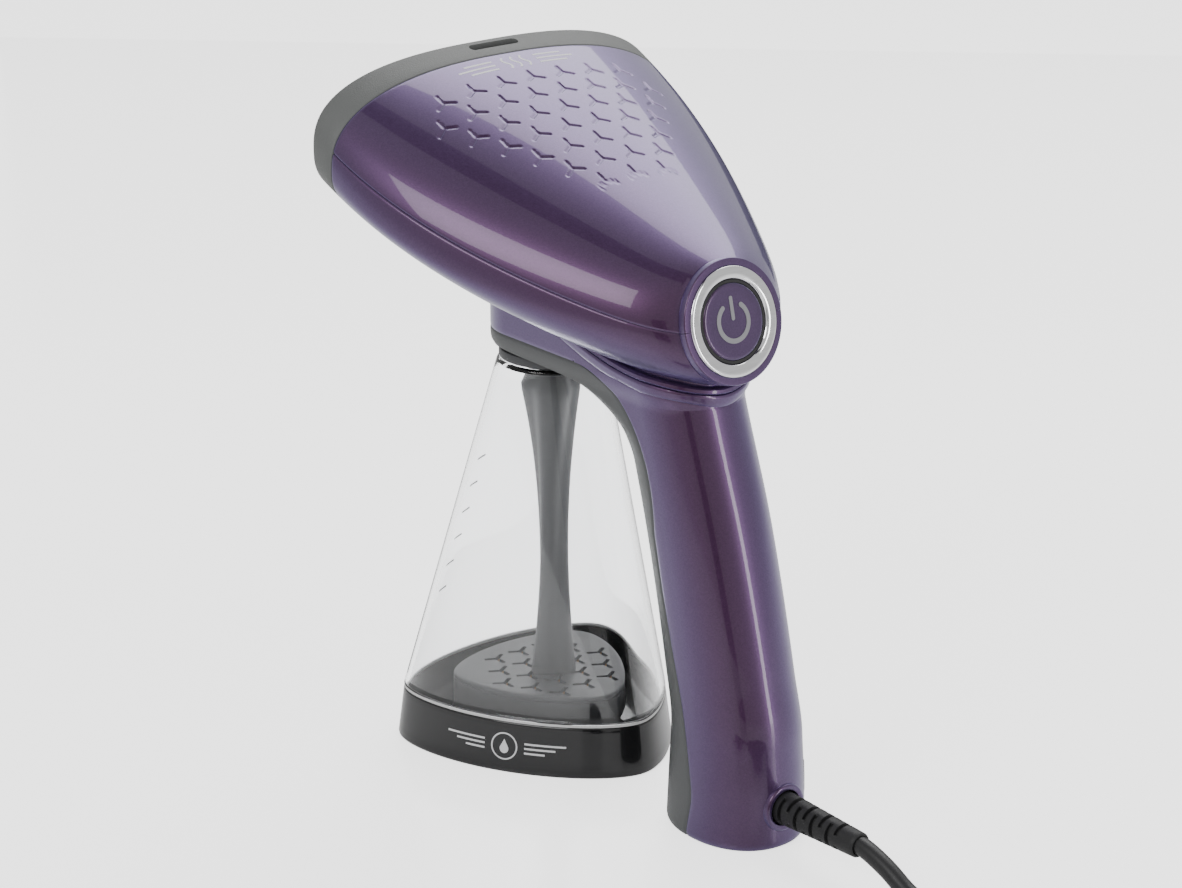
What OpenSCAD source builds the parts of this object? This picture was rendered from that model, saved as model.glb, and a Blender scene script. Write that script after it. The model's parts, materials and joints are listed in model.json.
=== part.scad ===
// Handheld garment steamer: wide steam head, gooseneck grip, clear water tank.
// Origin: centre of the tank's foot on the table. +Z up, steam plate faces -Y,
// grip and power button on the +Y side, X = 0 is the middle plane.

/* [Head] */
// Half width of the head at its front rim
head_half_w = 78.5; // [66:0.5:92]
// Front edge of the head, measured from the tank axis
head_front = 38; // [30:0.5:48]
// Height of the widest line at the front rim
head_z = 235; // [205:0.5:270]
// Rise of the top above the widest line at the front rim
head_rise = 29.5; // [22:0.5:36]
// Drop of the underside below the widest line at the front rim
head_drop = 25.5; // [20:0.5:32]
// Depth of the grey front bezel
bezel_depth = 12; // [8:0.5:18]
// Wall of the head shells
head_wall = 2.6; // [1.8:0.1:3.5]
// Wall of the front bezel
bezel_wall = 4; // [3:0.1:5]
// Length of the slot in the bezel's top
slot_length = 22; // [12:0.5:30]
// Width of the slot in the bezel's top
slot_width = 3.6; // [2:0.1:5]

/* [Steam unit] */
// Thickness of the steam plate
plate_t = 3; // [2:0.1:5]
// Radius of one steam hole
steam_hole_r = 1.6; // [1:0.1:2.5]
// Steam holes in each row
steam_holes = 9; // [5:1:11]
// Width of the steam chamber block
chamber_w = 108; // [90:1:114]
// Height of the steam chamber block
chamber_h = 28; // [24:1:31]
// Depth of the steam chamber block
chamber_d = 18; // [14:1:20]
// Radius of the heating element's tube
heater_r = 3.3; // [2.5:0.1:4]

/* [Button] */
// Distance of the button's face behind the tank axis
button_y = 101; // [90:0.5:112]
// Height of the button's centre
button_z = 189; // [165:0.5:215]
// Upward tilt of the button's face in degrees
button_tilt = 13.6; // [5:0.1:25]
// Outer radius of the boss round the button
boss_r = 22.2; // [19:0.1:26]
// Outer radius of the chrome ring
ring_r = 19.4; // [17:0.1:21]
// Radius of the power button
button_r = 13.5; // [11:0.1:15.5]
// How far the button travels when pressed
button_travel = 1.5; // [0.8:0.1:2]

/* [Grip] */
// Half width of the neck above the tank
neck_r = 22; // [20:0.1:25]
// Height of the neck's flat underside
neck_z = 157; // [145:0.5:170]
// Thickness of the grey trim under the neck
trim_t = 6.5; // [5:0.1:9]
// Half width of the grip in the hand
grip_half_w = 20.8; // [18:0.1:24]
// Half depth of the grip in the hand
grip_half_d = 23.2; // [20:0.1:27]
// Wall of the grip shells
grip_wall = 2.4; // [1.8:0.1:3]
// Distance of the grip's centre behind the tank axis at its foot
foot_y = 106; // [98:0.5:116]
// Half width of the grip's foot
foot_half_w = 22.3; // [19:0.1:26]
// Half depth of the grip's foot
foot_half_d = 26.5; // [22:0.1:30]

/* [Tank] */
// Mean radius of the tank's foot
tank_foot_r = 50.3; // [42:0.1:56]
// How far the foot's three corners stand out
tank_corner = 5.8; // [3:0.1:6.5]
// Height of the black base
base_h = 20; // [14:0.5:26]
// Widening of the base down to the table
base_flare = 2.6; // [1:0.1:4]
// Wall of the clear tank
tank_wall = 2; // [1.5:0.1:3]
// Radius of the tank's shoulder under the neck
shoulder_r = 20; // [18.5:0.1:22]
// Outer radius of the tank's spigot
spigot_r = 16.8; // [15:0.1:17.5]
// Height of the spigot above the shoulder
spigot_h = 13; // [8:0.5:16]

/* [Filter] */
// Half width of the filter cartridge
filter_r = 33; // [26:0.5:38]
// Height of the filter cartridge
filter_h = 13; // [10:0.5:20]
// Radius of the stem at its waist
stem_waist_r = 6; // [5:0.1:8]
// Radius of the stem at its top
stem_top_r = 11.3; // [8:0.1:12.5]
// Bore of the suction tube
suction_bore_r = 1.6; // [1:0.1:2.5]

/* [Pump] */
// Outer radius of the pump
pump_r = 10; // [8:0.1:12]
// Height of the pump
pump_h = 40; // [30:1:46]
// Radius of the pump's plunger
plunger_r = 4.5; // [3:0.1:6]
// Stroke of the pump's plunger
plunger_stroke = 3; // [1:0.5:4]

/* [Mains lead] */
// Diameter of the lead
cord_d = 7; // [6:0.1:8]
// Largest diameter of the strain relief
relief_d = 13; // [11:0.1:14]
// Length of the strain relief
relief_length = 40; // [25:1:55]
// Height of the cord exit above the table
exit_z = 15.5; // [12:0.5:22]
// Mean radius of the coiled part of the lead
coil_r = 42; // [38:0.5:46]
// Radius of one plug pin
pin_r = 2.4; // [2.3:0.05:2.45]
// Length of one plug pin
pin_length = 19; // [18:0.5:20]
// Distance between the plug pins
pin_pitch = 19; // [18.6:0.1:19.4]

/* [Hidden] */

$fn = 64;
fit = 0.05;         // radial play of a sliding fit
gap = 0.3;          // clear space between pieces that move apart
seat = 0.1;         // clear space between pieces that only lie side by side

boss_depth = 3;
head_rear = button_y - boss_depth * cos(button_tilt);
rear_z = button_z - boss_depth * sin(button_tilt);
head_steps = 13;
arc_steps = 26;
grip_sides = 32;

shoulder_z = neck_z - 5;
spigot_top = shoulder_z + spigot_h;
socket_bore_r = spigot_r + gap;
socket_r = neck_r - grip_wall - 0.8;
spigot_bore_r = spigot_r - 1.5;
spout_r = 4.5;
suction_r = suction_bore_r + 1.2;
filter_z = 12;
filter_top = filter_z + filter_h;
rim_z = base_h + 1;

plate_y = -head_front - 2.5;
gasket_y = plate_y + plate_t;
chamber_y = gasket_y + 2;
chamber_back = chamber_y + chamber_d;
chamber_z = head_z - 4;

pump_y = 91;
pump_z = 92;
pump_top = pump_z + pump_h;
plunger_h = 16;
plunger_z = pump_z + 8;
spring_z = plunger_z + plunger_h;

ring_t = 2.5;
housing_depth = 9.5;
button_t = 6;
button_face = 0.4;
switch_gap = 0.4;
switch_t = 6;
board_t = 1.6;
board_depth = housing_depth + 9;

plug_x = 128;
plug_w = 36;
plug_t = 22;
plug_z = plug_t / 2;
plug_rear = 232;
plug_length = 34;

function mix(a, b, t) = a + (b - a) * t;
function bezier(p, t) = p[0] * pow(1 - t, 3) + 3 * p[1] * pow(1 - t, 2) * t
    + 3 * p[2] * (1 - t) * t * t + p[3] * pow(t, 3);
function bent(v, e) = sign(v) * pow(abs(v), e);

// ---- head: superellipse sections from the front rim to the button boss ----

function head_y(t) = mix(-head_front, head_rear, t);
function head_w(t) = bezier([head_half_w, head_half_w + 4.5, boss_r + 34, boss_r + 6.6], t)
    - 6.6 * exp(-(1 - t) / 0.05);
function head_mid(t) = mix(mix(head_z, rear_z + 5.5, t), mix(rear_z + 5.5, rear_z, t), t);
function head_up(t) = bezier([head_rise, head_rise + 15, boss_r + 19, boss_r], t);
function head_down(t) = bezier([head_drop, head_drop - 8.5, boss_r + 12, boss_r], t);
function up_power(t) = 2.15 + 0.5 * exp(-t / 0.2) - 0.1 * pow(t, 8);
function down_power(t) = 1.7 + 0.9 * exp(-t / 0.2) + 0.35 * pow(t, 8);
function seam_rise(t) = mix(mix(6.8, 14.8, t), mix(14.8, 0, t), t);

function head_point(t, angle, inset) =
    let (up = sin(angle) >= 0,
         n = up ? up_power(t) : down_power(t),
         h = (up ? head_up(t) : head_down(t)) - inset,
         v = h * bent(sin(angle), 2 / n),
         lean = button_tilt * t)
    [(head_w(t) - inset) * bent(cos(angle), 2 / n),
     head_y(t) - v * sin(lean),
     head_mid(t) + v * cos(lean)];

function seam_angle(t) = asin(pow(seam_rise(t) / head_up(t), up_power(t) / 2));
function bezel_end() = bezel_depth / (head_front + head_rear);

module loft(rings) {
    k = len(rings[0]);
    m = len(rings);
    sides = [for (j = [0:m - 2], i = [0:k - 1])
        [j * k + i, j * k + (i + 1) % k, (j + 1) * k + (i + 1) % k, (j + 1) * k + i]];
    polyhedron(points = [for (r = rings) each r],
        faces = concat(sides, [[for (i = [k - 1:-1:0]) i], [for (i = [0:k - 1]) (m - 1) * k + i]]),
        convexity = 6);
}

// A loft whose rings run out along an arc and back along a parallel one
module arc_loft(rings) {
    k = len(rings[0]);
    m = len(rings);
    half = k / 2;
    sides = [for (j = [0:m - 2], i = [0:k - 1])
        [j * k + i, j * k + (i + 1) % k, (j + 1) * k + (i + 1) % k, (j + 1) * k + i]];
    near_cap = [for (i = [0:half - 2]) [k - 1 - i, k - 2 - i, i + 1, i]];
    far_cap = [for (i = [0:half - 2])
        [(m - 1) * k + i, (m - 1) * k + i + 1, m * k - 2 - i, m * k - 1 - i]];
    polyhedron(points = [for (r = rings) each r],
        faces = concat(sides, near_cap, far_cap), convexity = 8);
}

module head_solid(t0, t1, inset, steps = head_steps) {
    loft([for (j = [0:steps]) let (t = mix(t0, t1, j / steps))
        [for (i = [0:2 * arc_steps - 1]) head_point(t, i * 180 / arc_steps, inset)]]);
}

module head_arc(upper) {
    arc_loft([for (j = [0:head_steps])
        let (t = mix(bezel_end(), 1, j / head_steps), s = seam_angle(t),
             a0 = upper ? s : 180 - s, a1 = upper ? 180 - s : 360 + s)
        concat([for (i = [0:arc_steps]) head_point(t, mix(a0, a1, i / arc_steps), 0)],
               [for (i = [arc_steps:-1:0]) head_point(t, mix(a0, a1, i / arc_steps), head_wall)])]);
}

module at_button() {
    translate([0, button_y, button_z]) rotate([button_tilt - 90, 0, 0]) children();
}

module boss_half(upper) {
    side = upper ? -1 : 1;
    at_button() intersection() {
        difference() {
            translate([0, 0, -boss_depth - 0.5]) cylinder(h = boss_depth + 0.5, r = boss_r);
            translate([0, 0, -boss_depth - 1]) cylinder(h = boss_depth + 2, r = ring_r + seat);
        }
        translate([-30, upper ? -30 : 0, -20]) cube([60, 30, 30]);
    }
}

module head_upper_shell() {
    color([0.33, 0.22, 0.40]) {
        head_arc(true);
        boss_half(true);
    }
}

module head_lower_shell() {
    color([0.30, 0.19, 0.36]) {
        difference() {
            head_arc(false);
            grip_solid(grip_wall, neck_z - 10, grip_top + 1);
        }
        boss_half(false);
    }
}

module front_bezel() {
    color([0.55, 0.56, 0.56]) difference() {
        head_solid(0, bezel_end(), 0, 3);
        translate([0, -0.01, 0]) head_solid(-0.02, bezel_end() + 0.02, bezel_wall, 3);
        translate([-slot_length / 2, -head_front + 3, head_z])
            cube([slot_length, slot_width, head_rise + 10]);
    }
}

// Outline of the rim section, drawn flat, for the plate and its gasket
module rim_outline(inset) {
    polygon([for (i = [0:2 * arc_steps - 1]) let (p = head_point(0, i * 180 / arc_steps, inset))
        [p[0], p[2]]]);
}

module rim_slab(y, depth, inset) {
    translate([0, y + depth, 0]) rotate([90, 0, 0]) linear_extrude(depth) rim_outline(inset);
}

module steam_plate() {
    hole_pitch = 2 * (head_half_w - 22) / (steam_holes - 1);
    color([0.72, 0.72, 0.74]) difference() {
        rim_slab(plate_y, plate_t, bezel_wall + 0.4);
        for (i = [0:steam_holes - 1], row = [-1:1])
            translate([(i - (steam_holes - 1) / 2) * hole_pitch, plate_y - 1, chamber_z + row * 9])
                rotate([-90, 0, 0]) cylinder(h = plate_t + 2, r = steam_hole_r);
        for (side = [-1, 1]) translate([side * chamber_screw_x, plate_y + 0.9, chamber_z])
            rotate([-90, 0, 0]) cylinder(h = plate_t, r = 1.55);
    }
}

module plate_gasket() {
    color([0.75, 0.30, 0.20]) difference() {
        rim_slab(gasket_y, 2, bezel_wall + 1);
        translate([-chamber_w / 2 + 10, gasket_y - 1, chamber_z - chamber_h / 2 + 3])
            cube([chamber_w - 20, 4, chamber_h - 6]);
        for (side = [-1, 1]) translate([side * chamber_screw_x, gasket_y - 1, chamber_z])
            rotate([-90, 0, 0]) cylinder(h = 4, r = 1.7);
    }
}

chamber_screw_x = chamber_w / 2 - 5;
heater_y = chamber_back + heater_r + seat;
heater_arm = chamber_w / 2 - 22;
heater_bend = chamber_h / 2 - heater_r - 2;

module steam_chamber() {
    cavity_d = chamber_d - 5;
    color([0.66, 0.67, 0.69]) difference() {
        translate([-chamber_w / 2, chamber_y, chamber_z - chamber_h / 2])
            cube([chamber_w, chamber_d, chamber_h]);
        translate([-chamber_w / 2 + 10, chamber_y - 1, chamber_z - chamber_h / 2 + 4])
            cube([chamber_w - 20, cavity_d + 1, chamber_h - 8]);
        for (side = [-1, 1])
            translate([side * chamber_screw_x, chamber_y - 1, chamber_z])
                rotate([-90, 0, 0]) cylinder(h = chamber_d + 2, r = 1.7);
        translate([0, chamber_back - 6, inlet_z]) rotate([-90, 0, 0]) cylinder(h = 7, r = 2.2);
    }
    color([0.66, 0.67, 0.69])
        for (x = [-25, 25])
            translate([x - 1, chamber_y, chamber_z - chamber_h / 2 + 4])
                cube([2, cavity_d, (chamber_h - 8) * 0.6]);
}

module chamber_screws() {
    color([0.80, 0.80, 0.82]) for (side = [-1, 1])
        translate([side * chamber_screw_x, 0, chamber_z]) rotate([-90, 0, 0]) {
            translate([0, 0, plate_y + 1]) cylinder(h = chamber_back + 1 - plate_y - 1, r = 1.5);
            translate([0, 0, chamber_back + seat]) cylinder(h = 2, r = 2.8);
        }
}

module heating_element() {
    color([0.45, 0.44, 0.43]) translate([0, heater_y, chamber_z]) {
        for (side = [-1, 1])
            translate([-heater_arm, 0, side * heater_bend]) rotate([0, 90, 0])
                cylinder(h = 2 * heater_arm - (side > 0 ? 24 : 0), r = heater_r);
        translate([-heater_arm, 0, 0]) rotate([90, 90, 0]) rotate([0, 0, 180])
            rotate_extrude(angle = 180) translate([heater_bend, 0]) circle(r = heater_r);
    }
}

module thermostat() {
    color([0.80, 0.78, 0.70]) translate([16, chamber_back + seat, chamber_z])
        rotate([-90, 0, 0]) difference() {
            union() {
                cylinder(h = 5, r = 5);
                cylinder(h = 8, r = 3.4);
            }
            translate([0, 0, 6]) cylinder(h = 3, r = 1.2);
        }
}

module thermal_fuse() {
    color([0.85, 0.82, 0.72]) translate([-28, chamber_back + seat + 2.2, chamber_z])
        rotate([0, 90, 0]) {
            cylinder(h = 12, r = 2.1);
            translate([0, 0, -4]) cylinder(h = 20, r = 0.5);
        }
}

inlet_y = chamber_back - 5;
inlet_z = chamber_z;
inlet_tip = chamber_back + 17;

module water_inlet() {
    color([0.75, 0.62, 0.35]) translate([0, 0, inlet_z]) rotate([-90, 0, 0]) difference() {
        union() {
            translate([0, 0, inlet_y]) cylinder(h = inlet_tip - inlet_y, r = 2.1);
            translate([0, 0, chamber_back + seat]) cylinder(h = 2, r = 3);
        }
        translate([0, 0, inlet_y - 1]) cylinder(h = inlet_tip - inlet_y + 2, r = 1);
    }
}

module heat_shield() {
    shield_y = heater_y + heater_r + 3;
    color([0.60, 0.60, 0.62]) difference() {
        translate([-chamber_w / 2 + 6, shield_y, chamber_z - chamber_h / 2])
            cube([chamber_w - 12, 0.8, chamber_h - 4]);
        translate([0, shield_y - 1, inlet_z]) rotate([-90, 0, 0]) cylinder(h = 3, r = 3.5);
    }
}

// ---- button group, drawn along the tilted button axis ----

module button_ring() {
    color([0.90, 0.90, 0.92]) at_button() translate([0, 0, 0.6 - ring_t])
        rotate_extrude() {
            translate([button_r + 1.2, 0]) square([ring_r - button_r - 1.2, ring_t - 0.6]);
            translate([button_r + 1.8, ring_t - 0.8]) square([ring_r - button_r - 2.4, 0.8]);
        }
}

module button_housing() {
    color([0.08, 0.08, 0.09]) at_button() difference() {
        union() {
            translate([0, 0, -housing_depth]) cylinder(h = housing_depth - 0.4, r = button_r + 1.1);
            translate([0, 0, -housing_depth]) cylinder(h = housing_depth + 0.6 - ring_t - seat,
                                                      r = ring_r - 0.2);
        }
        translate([0, 0, -housing_depth + 1.5]) cylinder(h = housing_depth, r = button_r + fit);
        translate([0, 0, -housing_depth - 1]) cylinder(h = 4, r = 4);
    }
}

module power_button() {
    color([0.27, 0.18, 0.34]) at_button() difference() {
        union() {
            translate([0, 0, -button_t]) cylinder(h = button_t - button_face, r = button_r);
            translate([0, 0, -button_face]) cylinder(h = button_face, r1 = button_r, r2 = button_r - 0.8);
        }
        translate([0, 0, -0.3]) power_mark(0.05, 1);
        translate([0, 0, -button_t - 1]) cylinder(h = button_t - 1.5, r = button_r - 1.6);
    }
    color([0.27, 0.18, 0.34]) at_button()
        translate([0, 0, -button_t]) cylinder(h = button_t - 2, r = 2.6);
}

mark_r = 7.6;
mark_w = 1.9;

// A ring open at the top with an upright bar: the usual on/off sign
module power_mark(grow, height) {
    linear_extrude(height) difference() {
        union() {
            circle(r = mark_r + grow);
            translate([-mark_w / 2 - grow, -mark_r - 1.5]) square([mark_w + 2 * grow, mark_r]);
        }
        difference() {
            circle(r = mark_r - mark_w - grow);
            translate([-mark_w / 2 - grow, -mark_r - 2]) square([mark_w + 2 * grow, mark_r + 0.6 + grow]);
        }
        polygon([[0, 1], [-mark_r, -mark_r * 2.2], [-mark_w / 2 - grow, -mark_r * 2.2],
                 [-mark_w / 2 - grow, -2]]);
        polygon([[0, 1], [mark_r, -mark_r * 2.2], [mark_w / 2 + grow, -mark_r * 2.2],
                 [mark_w / 2 + grow, -2]]);
    }
}

module button_icon() {
    color([0.62, 0.62, 0.66]) at_button() translate([0, 0, -0.3]) power_mark(0, 0.35);
}

module power_switch() {
    color([0.15, 0.15, 0.16]) at_button() {
        translate([-6, -6, board_t - board_depth]) cube([12, 12, switch_t]);
        translate([0, 0, board_t + switch_t - board_depth - 0.5])
            cylinder(h = board_depth - board_t - switch_t + 0.5 - button_t - button_travel - switch_gap,
                     r = 1.8);
    }
}

module control_board() {
    color([0.10, 0.35, 0.20]) at_button() {
        translate([-13, -13, -board_depth]) cube([26, 26, board_t]);
        for (x = [-9, 6]) translate([x, 4, -board_depth - 4]) cube([4, 7, 4]);
        translate([0, -7, -board_depth - 6]) cylinder(h = 6, r = 3.5);
    }
}

// ---- neck and grip: level oblong sections stacked from foot to head ----

function grip_mid(z) = foot_y + lookup(z, [[0, 0], [20, 0.2], [38, 0], [60, -4.2], [110, -16.2],
    [neck_z, -31.5]]);
function grip_d(z) = lookup(z, [[0, foot_half_d], [20, foot_half_d - 0.6], [38, foot_half_d - 1.8],
    [60, grip_half_d + 1], [110, grip_half_d - 0.2], [neck_z, grip_half_d - 1]]);
function grip_w(z) = lookup(z, [[0, foot_half_w], [38, mix(foot_half_w, grip_half_w, 0.7)],
    [60, grip_half_w], [110, grip_half_w + 0.1], [neck_z - 2, neck_r - 1.4],
    [neck_z + 5, neck_r], [neck_z + 60, neck_r]]);
// How far the front of the section reaches forward of the grip, rising to the neck
function neck_reach(z) = lookup(z, [[neck_z - 22, 0], [neck_z - 15, 2.5], [neck_z - 10, 7],
    [neck_z - 6, 14], [neck_z - 3, 22], [neck_z - 1, 33.5]]);
function front_y(z) = z >= neck_z ? -min(neck_r, neck_r - 1.6 + (z - neck_z) * 0.8)
    : grip_mid(z) - grip_d(z) - neck_reach(z);
function rear_y(z) = grip_mid(min(z, neck_z)) + grip_d(min(z, neck_z));
function foot_round(z) = z < 3 ? 1.6 * (1 - sqrt(1 - pow(1 - z / 3, 2))) : 0;

function grip_ring(z, inset) =
    let (zz = z - (z > neck_z - 40 ? inset : 0),
         w = grip_w(z) - inset - foot_round(z),
         f = front_y(zz) + inset + foot_round(z),
         r = rear_y(z) - inset - foot_round(z),
         d = min((r - f) / 2, grip_d(min(z, neck_z)) - inset))
    [for (i = [0:grip_sides - 1]) let (a = -i * 360 / grip_sides, s = sin(a))
        [w * bent(cos(a), 0.92),
         (s >= 0 ? r - d : f + min(d, max(w, d - 1))) + (s >= 0 ? d : min(d, max(w, d - 1)))
            * bent(s, 0.92), z]];

grip_levels = [0, 1, 3, 20, 38, 60, 85, 110, neck_z - 22, neck_z - 15, neck_z - 10, neck_z - 6,
    neck_z - 3, neck_z - 1, neck_z, neck_z + 2, neck_z + 5];
grip_top = neck_z + 47;

module grip_solid(inset, z0 = 0, z1 = grip_top) {
    inner = [for (z = grip_levels) z + (z > neck_z - 40 ? inset : 0)];
    levels = concat([z0], [for (z = inner) if (z > z0 && z < z1) z], [z1]);
    loft([for (z = levels) grip_ring(z, inset)]);
}

// Side view of the space in front of the parting line between trim and shell
module parting_side() {
    bend_y = 43;
    bend_z = 53;
    top = neck_z + trim_t;
    turn = top - bend_z;
    curve = [for (a = [90:-10:0]) [foot_y - 66 + bend_y * cos(a), turn + bend_z * sin(a)]];
    foot = [[foot_y - 6, 46], [foot_y - 1.5, 26], [foot_y, 16], [foot_y - 1.5, 6], [foot_y - 3, -5]];
    polygon(concat([[-neck_r - 10, -5], [-neck_r - 10, top]], curve, foot));
}

module parting_block() {
    rotate([90, 0, 90]) translate([0, 0, -40]) linear_extrude(80) parting_side();
}

module grip_shell() {
    difference() {
        grip_solid(0);
        grip_solid(grip_wall, 3, grip_top + 1);
        head_arc(false);
        head_solid(bezel_end(), 1, 0.6);
        at_button() translate([-40, -60, -boss_depth - 0.6]) cube([80, 60 + boss_r - 1, 30]);
    }
}

screw_levels = [44, 68];
exit_y = 129;

module cord_hole(r) {
    translate([0, exit_y - 12, exit_z]) rotate([-90, 0, 0]) cylinder(h = 30, r = r);
}

module at_screws() {
    for (z = screw_levels) {
        $level = z;
        translate([0, grip_mid(z) - grip_d(z), z]) rotate([-90, 0, 0]) children();
    }
}

module handle_shell() {
    color([0.31, 0.20, 0.37]) {
        difference() {
            grip_shell();
            parting_block();
            cord_hole(relief_d / 2 + seat);
            plate_window(seat);
        }
        difference() {
            translate([0, exit_y - 2, exit_z]) rotate([-90, 0, 0]) cylinder(h = 6, r = relief_d / 2 + 2.4);
            cord_hole(relief_d / 2 + seat);
            grip_solid(grip_wall, 3, neck_z);
        }
        at_screws() difference() {
            translate([0, 0, 6.2]) cylinder(h = 2 * grip_d($level) - 7.4, r = 3.4);
            cylinder(h = 18, r = 1.55);
        }
        for (side = [-1, 1]) translate([side * 8.5, clamp_y, 2]) difference() {
            cylinder(h = exit_z - 6.6 - 2, r = 3);
            translate([0, 0, 3]) cylinder(h = 20, r = 1.45);
        }
    }
}

module plate_window(grow) {
    translate([-foot_half_w - 1, foot_y + 11 - grow, 14 - grow])
        cube([foot_half_w / 2, 7 + 2 * grow, 12 + 2 * grow]);
}

module rating_plate() {
    color([0.10, 0.10, 0.11]) intersection() {
        plate_window(0);
        difference() {
            grip_solid(-0.4, 5, 40);
            grip_solid(grip_wall, 4, 41);
        }
    }
}

module front_trim() {
    color([0.42, 0.43, 0.44]) difference() {
        intersection() {
            grip_shell();
            parting_block();
        }
        translate([0, 0, neck_z - 2]) cylinder(h = trim_t + 4, r = socket_bore_r + 0.2);
        at_screws() {
            translate([0, 0, -2]) cylinder(h = 4, r = 3);
            cylinder(h = 20, r = 1.6);
        }
    }
    color([0.42, 0.43, 0.44]) at_screws() difference() {
        translate([0, 0, 2]) cylinder(h = 4, r = 4.4);
        cylinder(h = 20, r = 1.6);
    }
}

module trim_screws() {
    color([0.75, 0.75, 0.77]) at_screws() {
        translate([0, 0, 0.3]) cylinder(h = 1.6, r = 2.8);
        translate([0, 0, 1]) cylinder(h = 15, r = 1.5);
    }
}

// ---- docking socket, hoses and pump ----

socket_z = neck_z + 4.5;
socket_top = spigot_top + 4;

module docking_socket() {
    color([0.20, 0.20, 0.21]) difference() {
        union() {
            translate([0, 0, socket_z]) cylinder(h = socket_top - socket_z, r = socket_r);
            translate([0, 0, socket_top - 1]) cylinder(h = 10, r = 8);
            translate([0, 0, socket_top + 5]) rotate([-90, 0, 0]) cylinder(h = 15, r = 2.5);
        }
        translate([0, 0, socket_z - 1]) cylinder(h = spigot_top + 1.5 - socket_z + 1, r = socket_bore_r);
        translate([0, 0, socket_z]) cylinder(h = socket_top - socket_z + 5.5, r = spout_r + gap);
        translate([0, 0, socket_top + 5]) rotate([-90, 0, 0]) cylinder(h = 16, r = 1.3);
    }
}

seal_z = spigot_top + 1.5;

module tank_seal() {
    color([0.15, 0.15, 0.16]) translate([0, 0, seal_z - 1.4]) rotate_extrude()
        translate([socket_bore_r - 1.6, 0]) square([1.5, 1.3]);
}

hose_r = 3;
function lerp_path(p, n) = [for (i = [0:len(p) - 2], k = [0:n - 1]) curve_at(p, i, k / n), p[len(p) - 1]];
// A smooth curve through hand-chosen points
function curve_at(p, i, t) =
    let (a = p[max(i - 1, 0)], b = p[i], c = p[i + 1], d = p[min(i + 2, len(p) - 1)])
    0.5 * ((2 * b) + (c - a) * t + (2 * a - 5 * b + 4 * c - d) * t * t
        + (3 * b - a - 3 * c + d) * t * t * t);
function unit(v) = v / norm(v);
function heading(p, i) = unit(p[min(i + 1, len(p) - 1)] - p[max(i - 1, 0)]);

module tube_along(points, r, sides = 8, steps = 2) {
    path = lerp_path(points, steps);
    loft([for (i = [0:len(path) - 1])
        let (h = heading(path, i), side = unit(cross([0, 0.02, 1], h)), up = cross(h, side))
        [for (k = [0:sides - 1]) let (a = 360 * k / sides)
            path[i] + r * (side * cos(a) - up * sin(a))]]);
}

socket_spout = [0, 15.2, socket_top + 5];
hose_y = pump_y - pump_r - hose_r - 0.4;
inlet_points = [socket_spout, [0, 24, socket_top + 5], [0, 36, socket_top - 2],
    [0, 48, socket_top - 12], [0, 60, neck_z - 11], [0, 70, neck_z - 22], [0, hose_y, neck_z - 38],
    [0, hose_y, pump_z], [0, hose_y + 3, pump_z - 11], [0, pump_y - 3, pump_z - 14.5],
    [0, pump_y, pump_z - 8.2]];
outlet_points = [[0, pump_y, pump_top + 6.2], [0, pump_y - 3, pump_top + 14],
    [0, 74, neck_z + 4], [0, 60, neck_z + 14], [0, 46, neck_z + 28], [0, 34, neck_z + 44],
    [0, 22, inlet_z - 8], [0, 10, inlet_z - 1], [0, inlet_tip + seat, inlet_z]];

module inlet_hose() {
    color([0.85, 0.85, 0.80]) tube_along(inlet_points, hose_r);
}

module outlet_hose() {
    color([0.85, 0.85, 0.80]) tube_along(outlet_points, hose_r);
}

module pump_body() {
    color([0.88, 0.88, 0.86]) translate([0, pump_y, 0]) difference() {
        union() {
            translate([0, 0, pump_z]) cylinder(h = pump_h, r = plunger_r + 2);
            translate([0, 0, pump_z]) cylinder(h = 3, r = pump_r);
            translate([0, 0, pump_top - 3]) cylinder(h = 3, r = pump_r);
            translate([0, 0, pump_z - 8]) cylinder(h = 9, r = 2.6);
            translate([0, 0, pump_top - 1]) cylinder(h = 7, r = 2.6);
        }
        translate([0, 0, pump_z + 2]) cylinder(h = pump_h - 4, r = plunger_r + fit);
        translate([0, 0, pump_z - 9]) cylinder(h = pump_h + 16, r = 1.2);
    }
}

module pump_coil() {
    color([0.72, 0.40, 0.20]) translate([0, pump_y, pump_z + 3 + seat]) difference() {
        cylinder(h = pump_h - 6 - 2 * seat, r = pump_r - 0.5);
        translate([0, 0, -1]) cylinder(h = pump_h, r = plunger_r + 2 + seat);
    }
}

module pump_plunger() {
    color([0.70, 0.70, 0.72]) translate([0, pump_y, plunger_z]) difference() {
        cylinder(h = plunger_h, r = plunger_r);
        translate([0, 0, -1]) cylinder(h = plunger_h + 2, r = 1);
    }
}

module pump_spring() {
    color([0.60, 0.60, 0.62]) translate([0, pump_y, spring_z]) difference() {
        cylinder(h = pump_top - 2 - spring_z, r = plunger_r - 0.4);
        translate([0, 0, -1]) cylinder(h = pump_h, r = plunger_r - 1.4);
    }
}

// ---- mains side, inside the foot ----

clamp_y = exit_y - 18;

module cord_clamp() {
    color([0.12, 0.12, 0.13]) difference() {
        translate([-12, clamp_y - 4, exit_z - 6.5]) cube([24, 8, 13]);
        translate([0, clamp_y - 5, exit_z]) rotate([-90, 0, 0]) cylinder(h = 10, r = cord_d / 2 + seat);
        for (side = [-1, 1]) translate([side * 8.5, clamp_y, exit_z - 7]) cylinder(h = 15, r = 1.6);
    }
}

module clamp_screws() {
    color([0.75, 0.75, 0.77]) for (side = [-1, 1]) translate([side * 8.5, clamp_y, 0]) {
        translate([0, 0, exit_z - 6]) cylinder(h = 12, r = 1.4);
        translate([0, 0, exit_z + 6.5 + seat]) cylinder(h = 1.8, r = 2.6);
    }
}

wire_x = 2.4;

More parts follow.
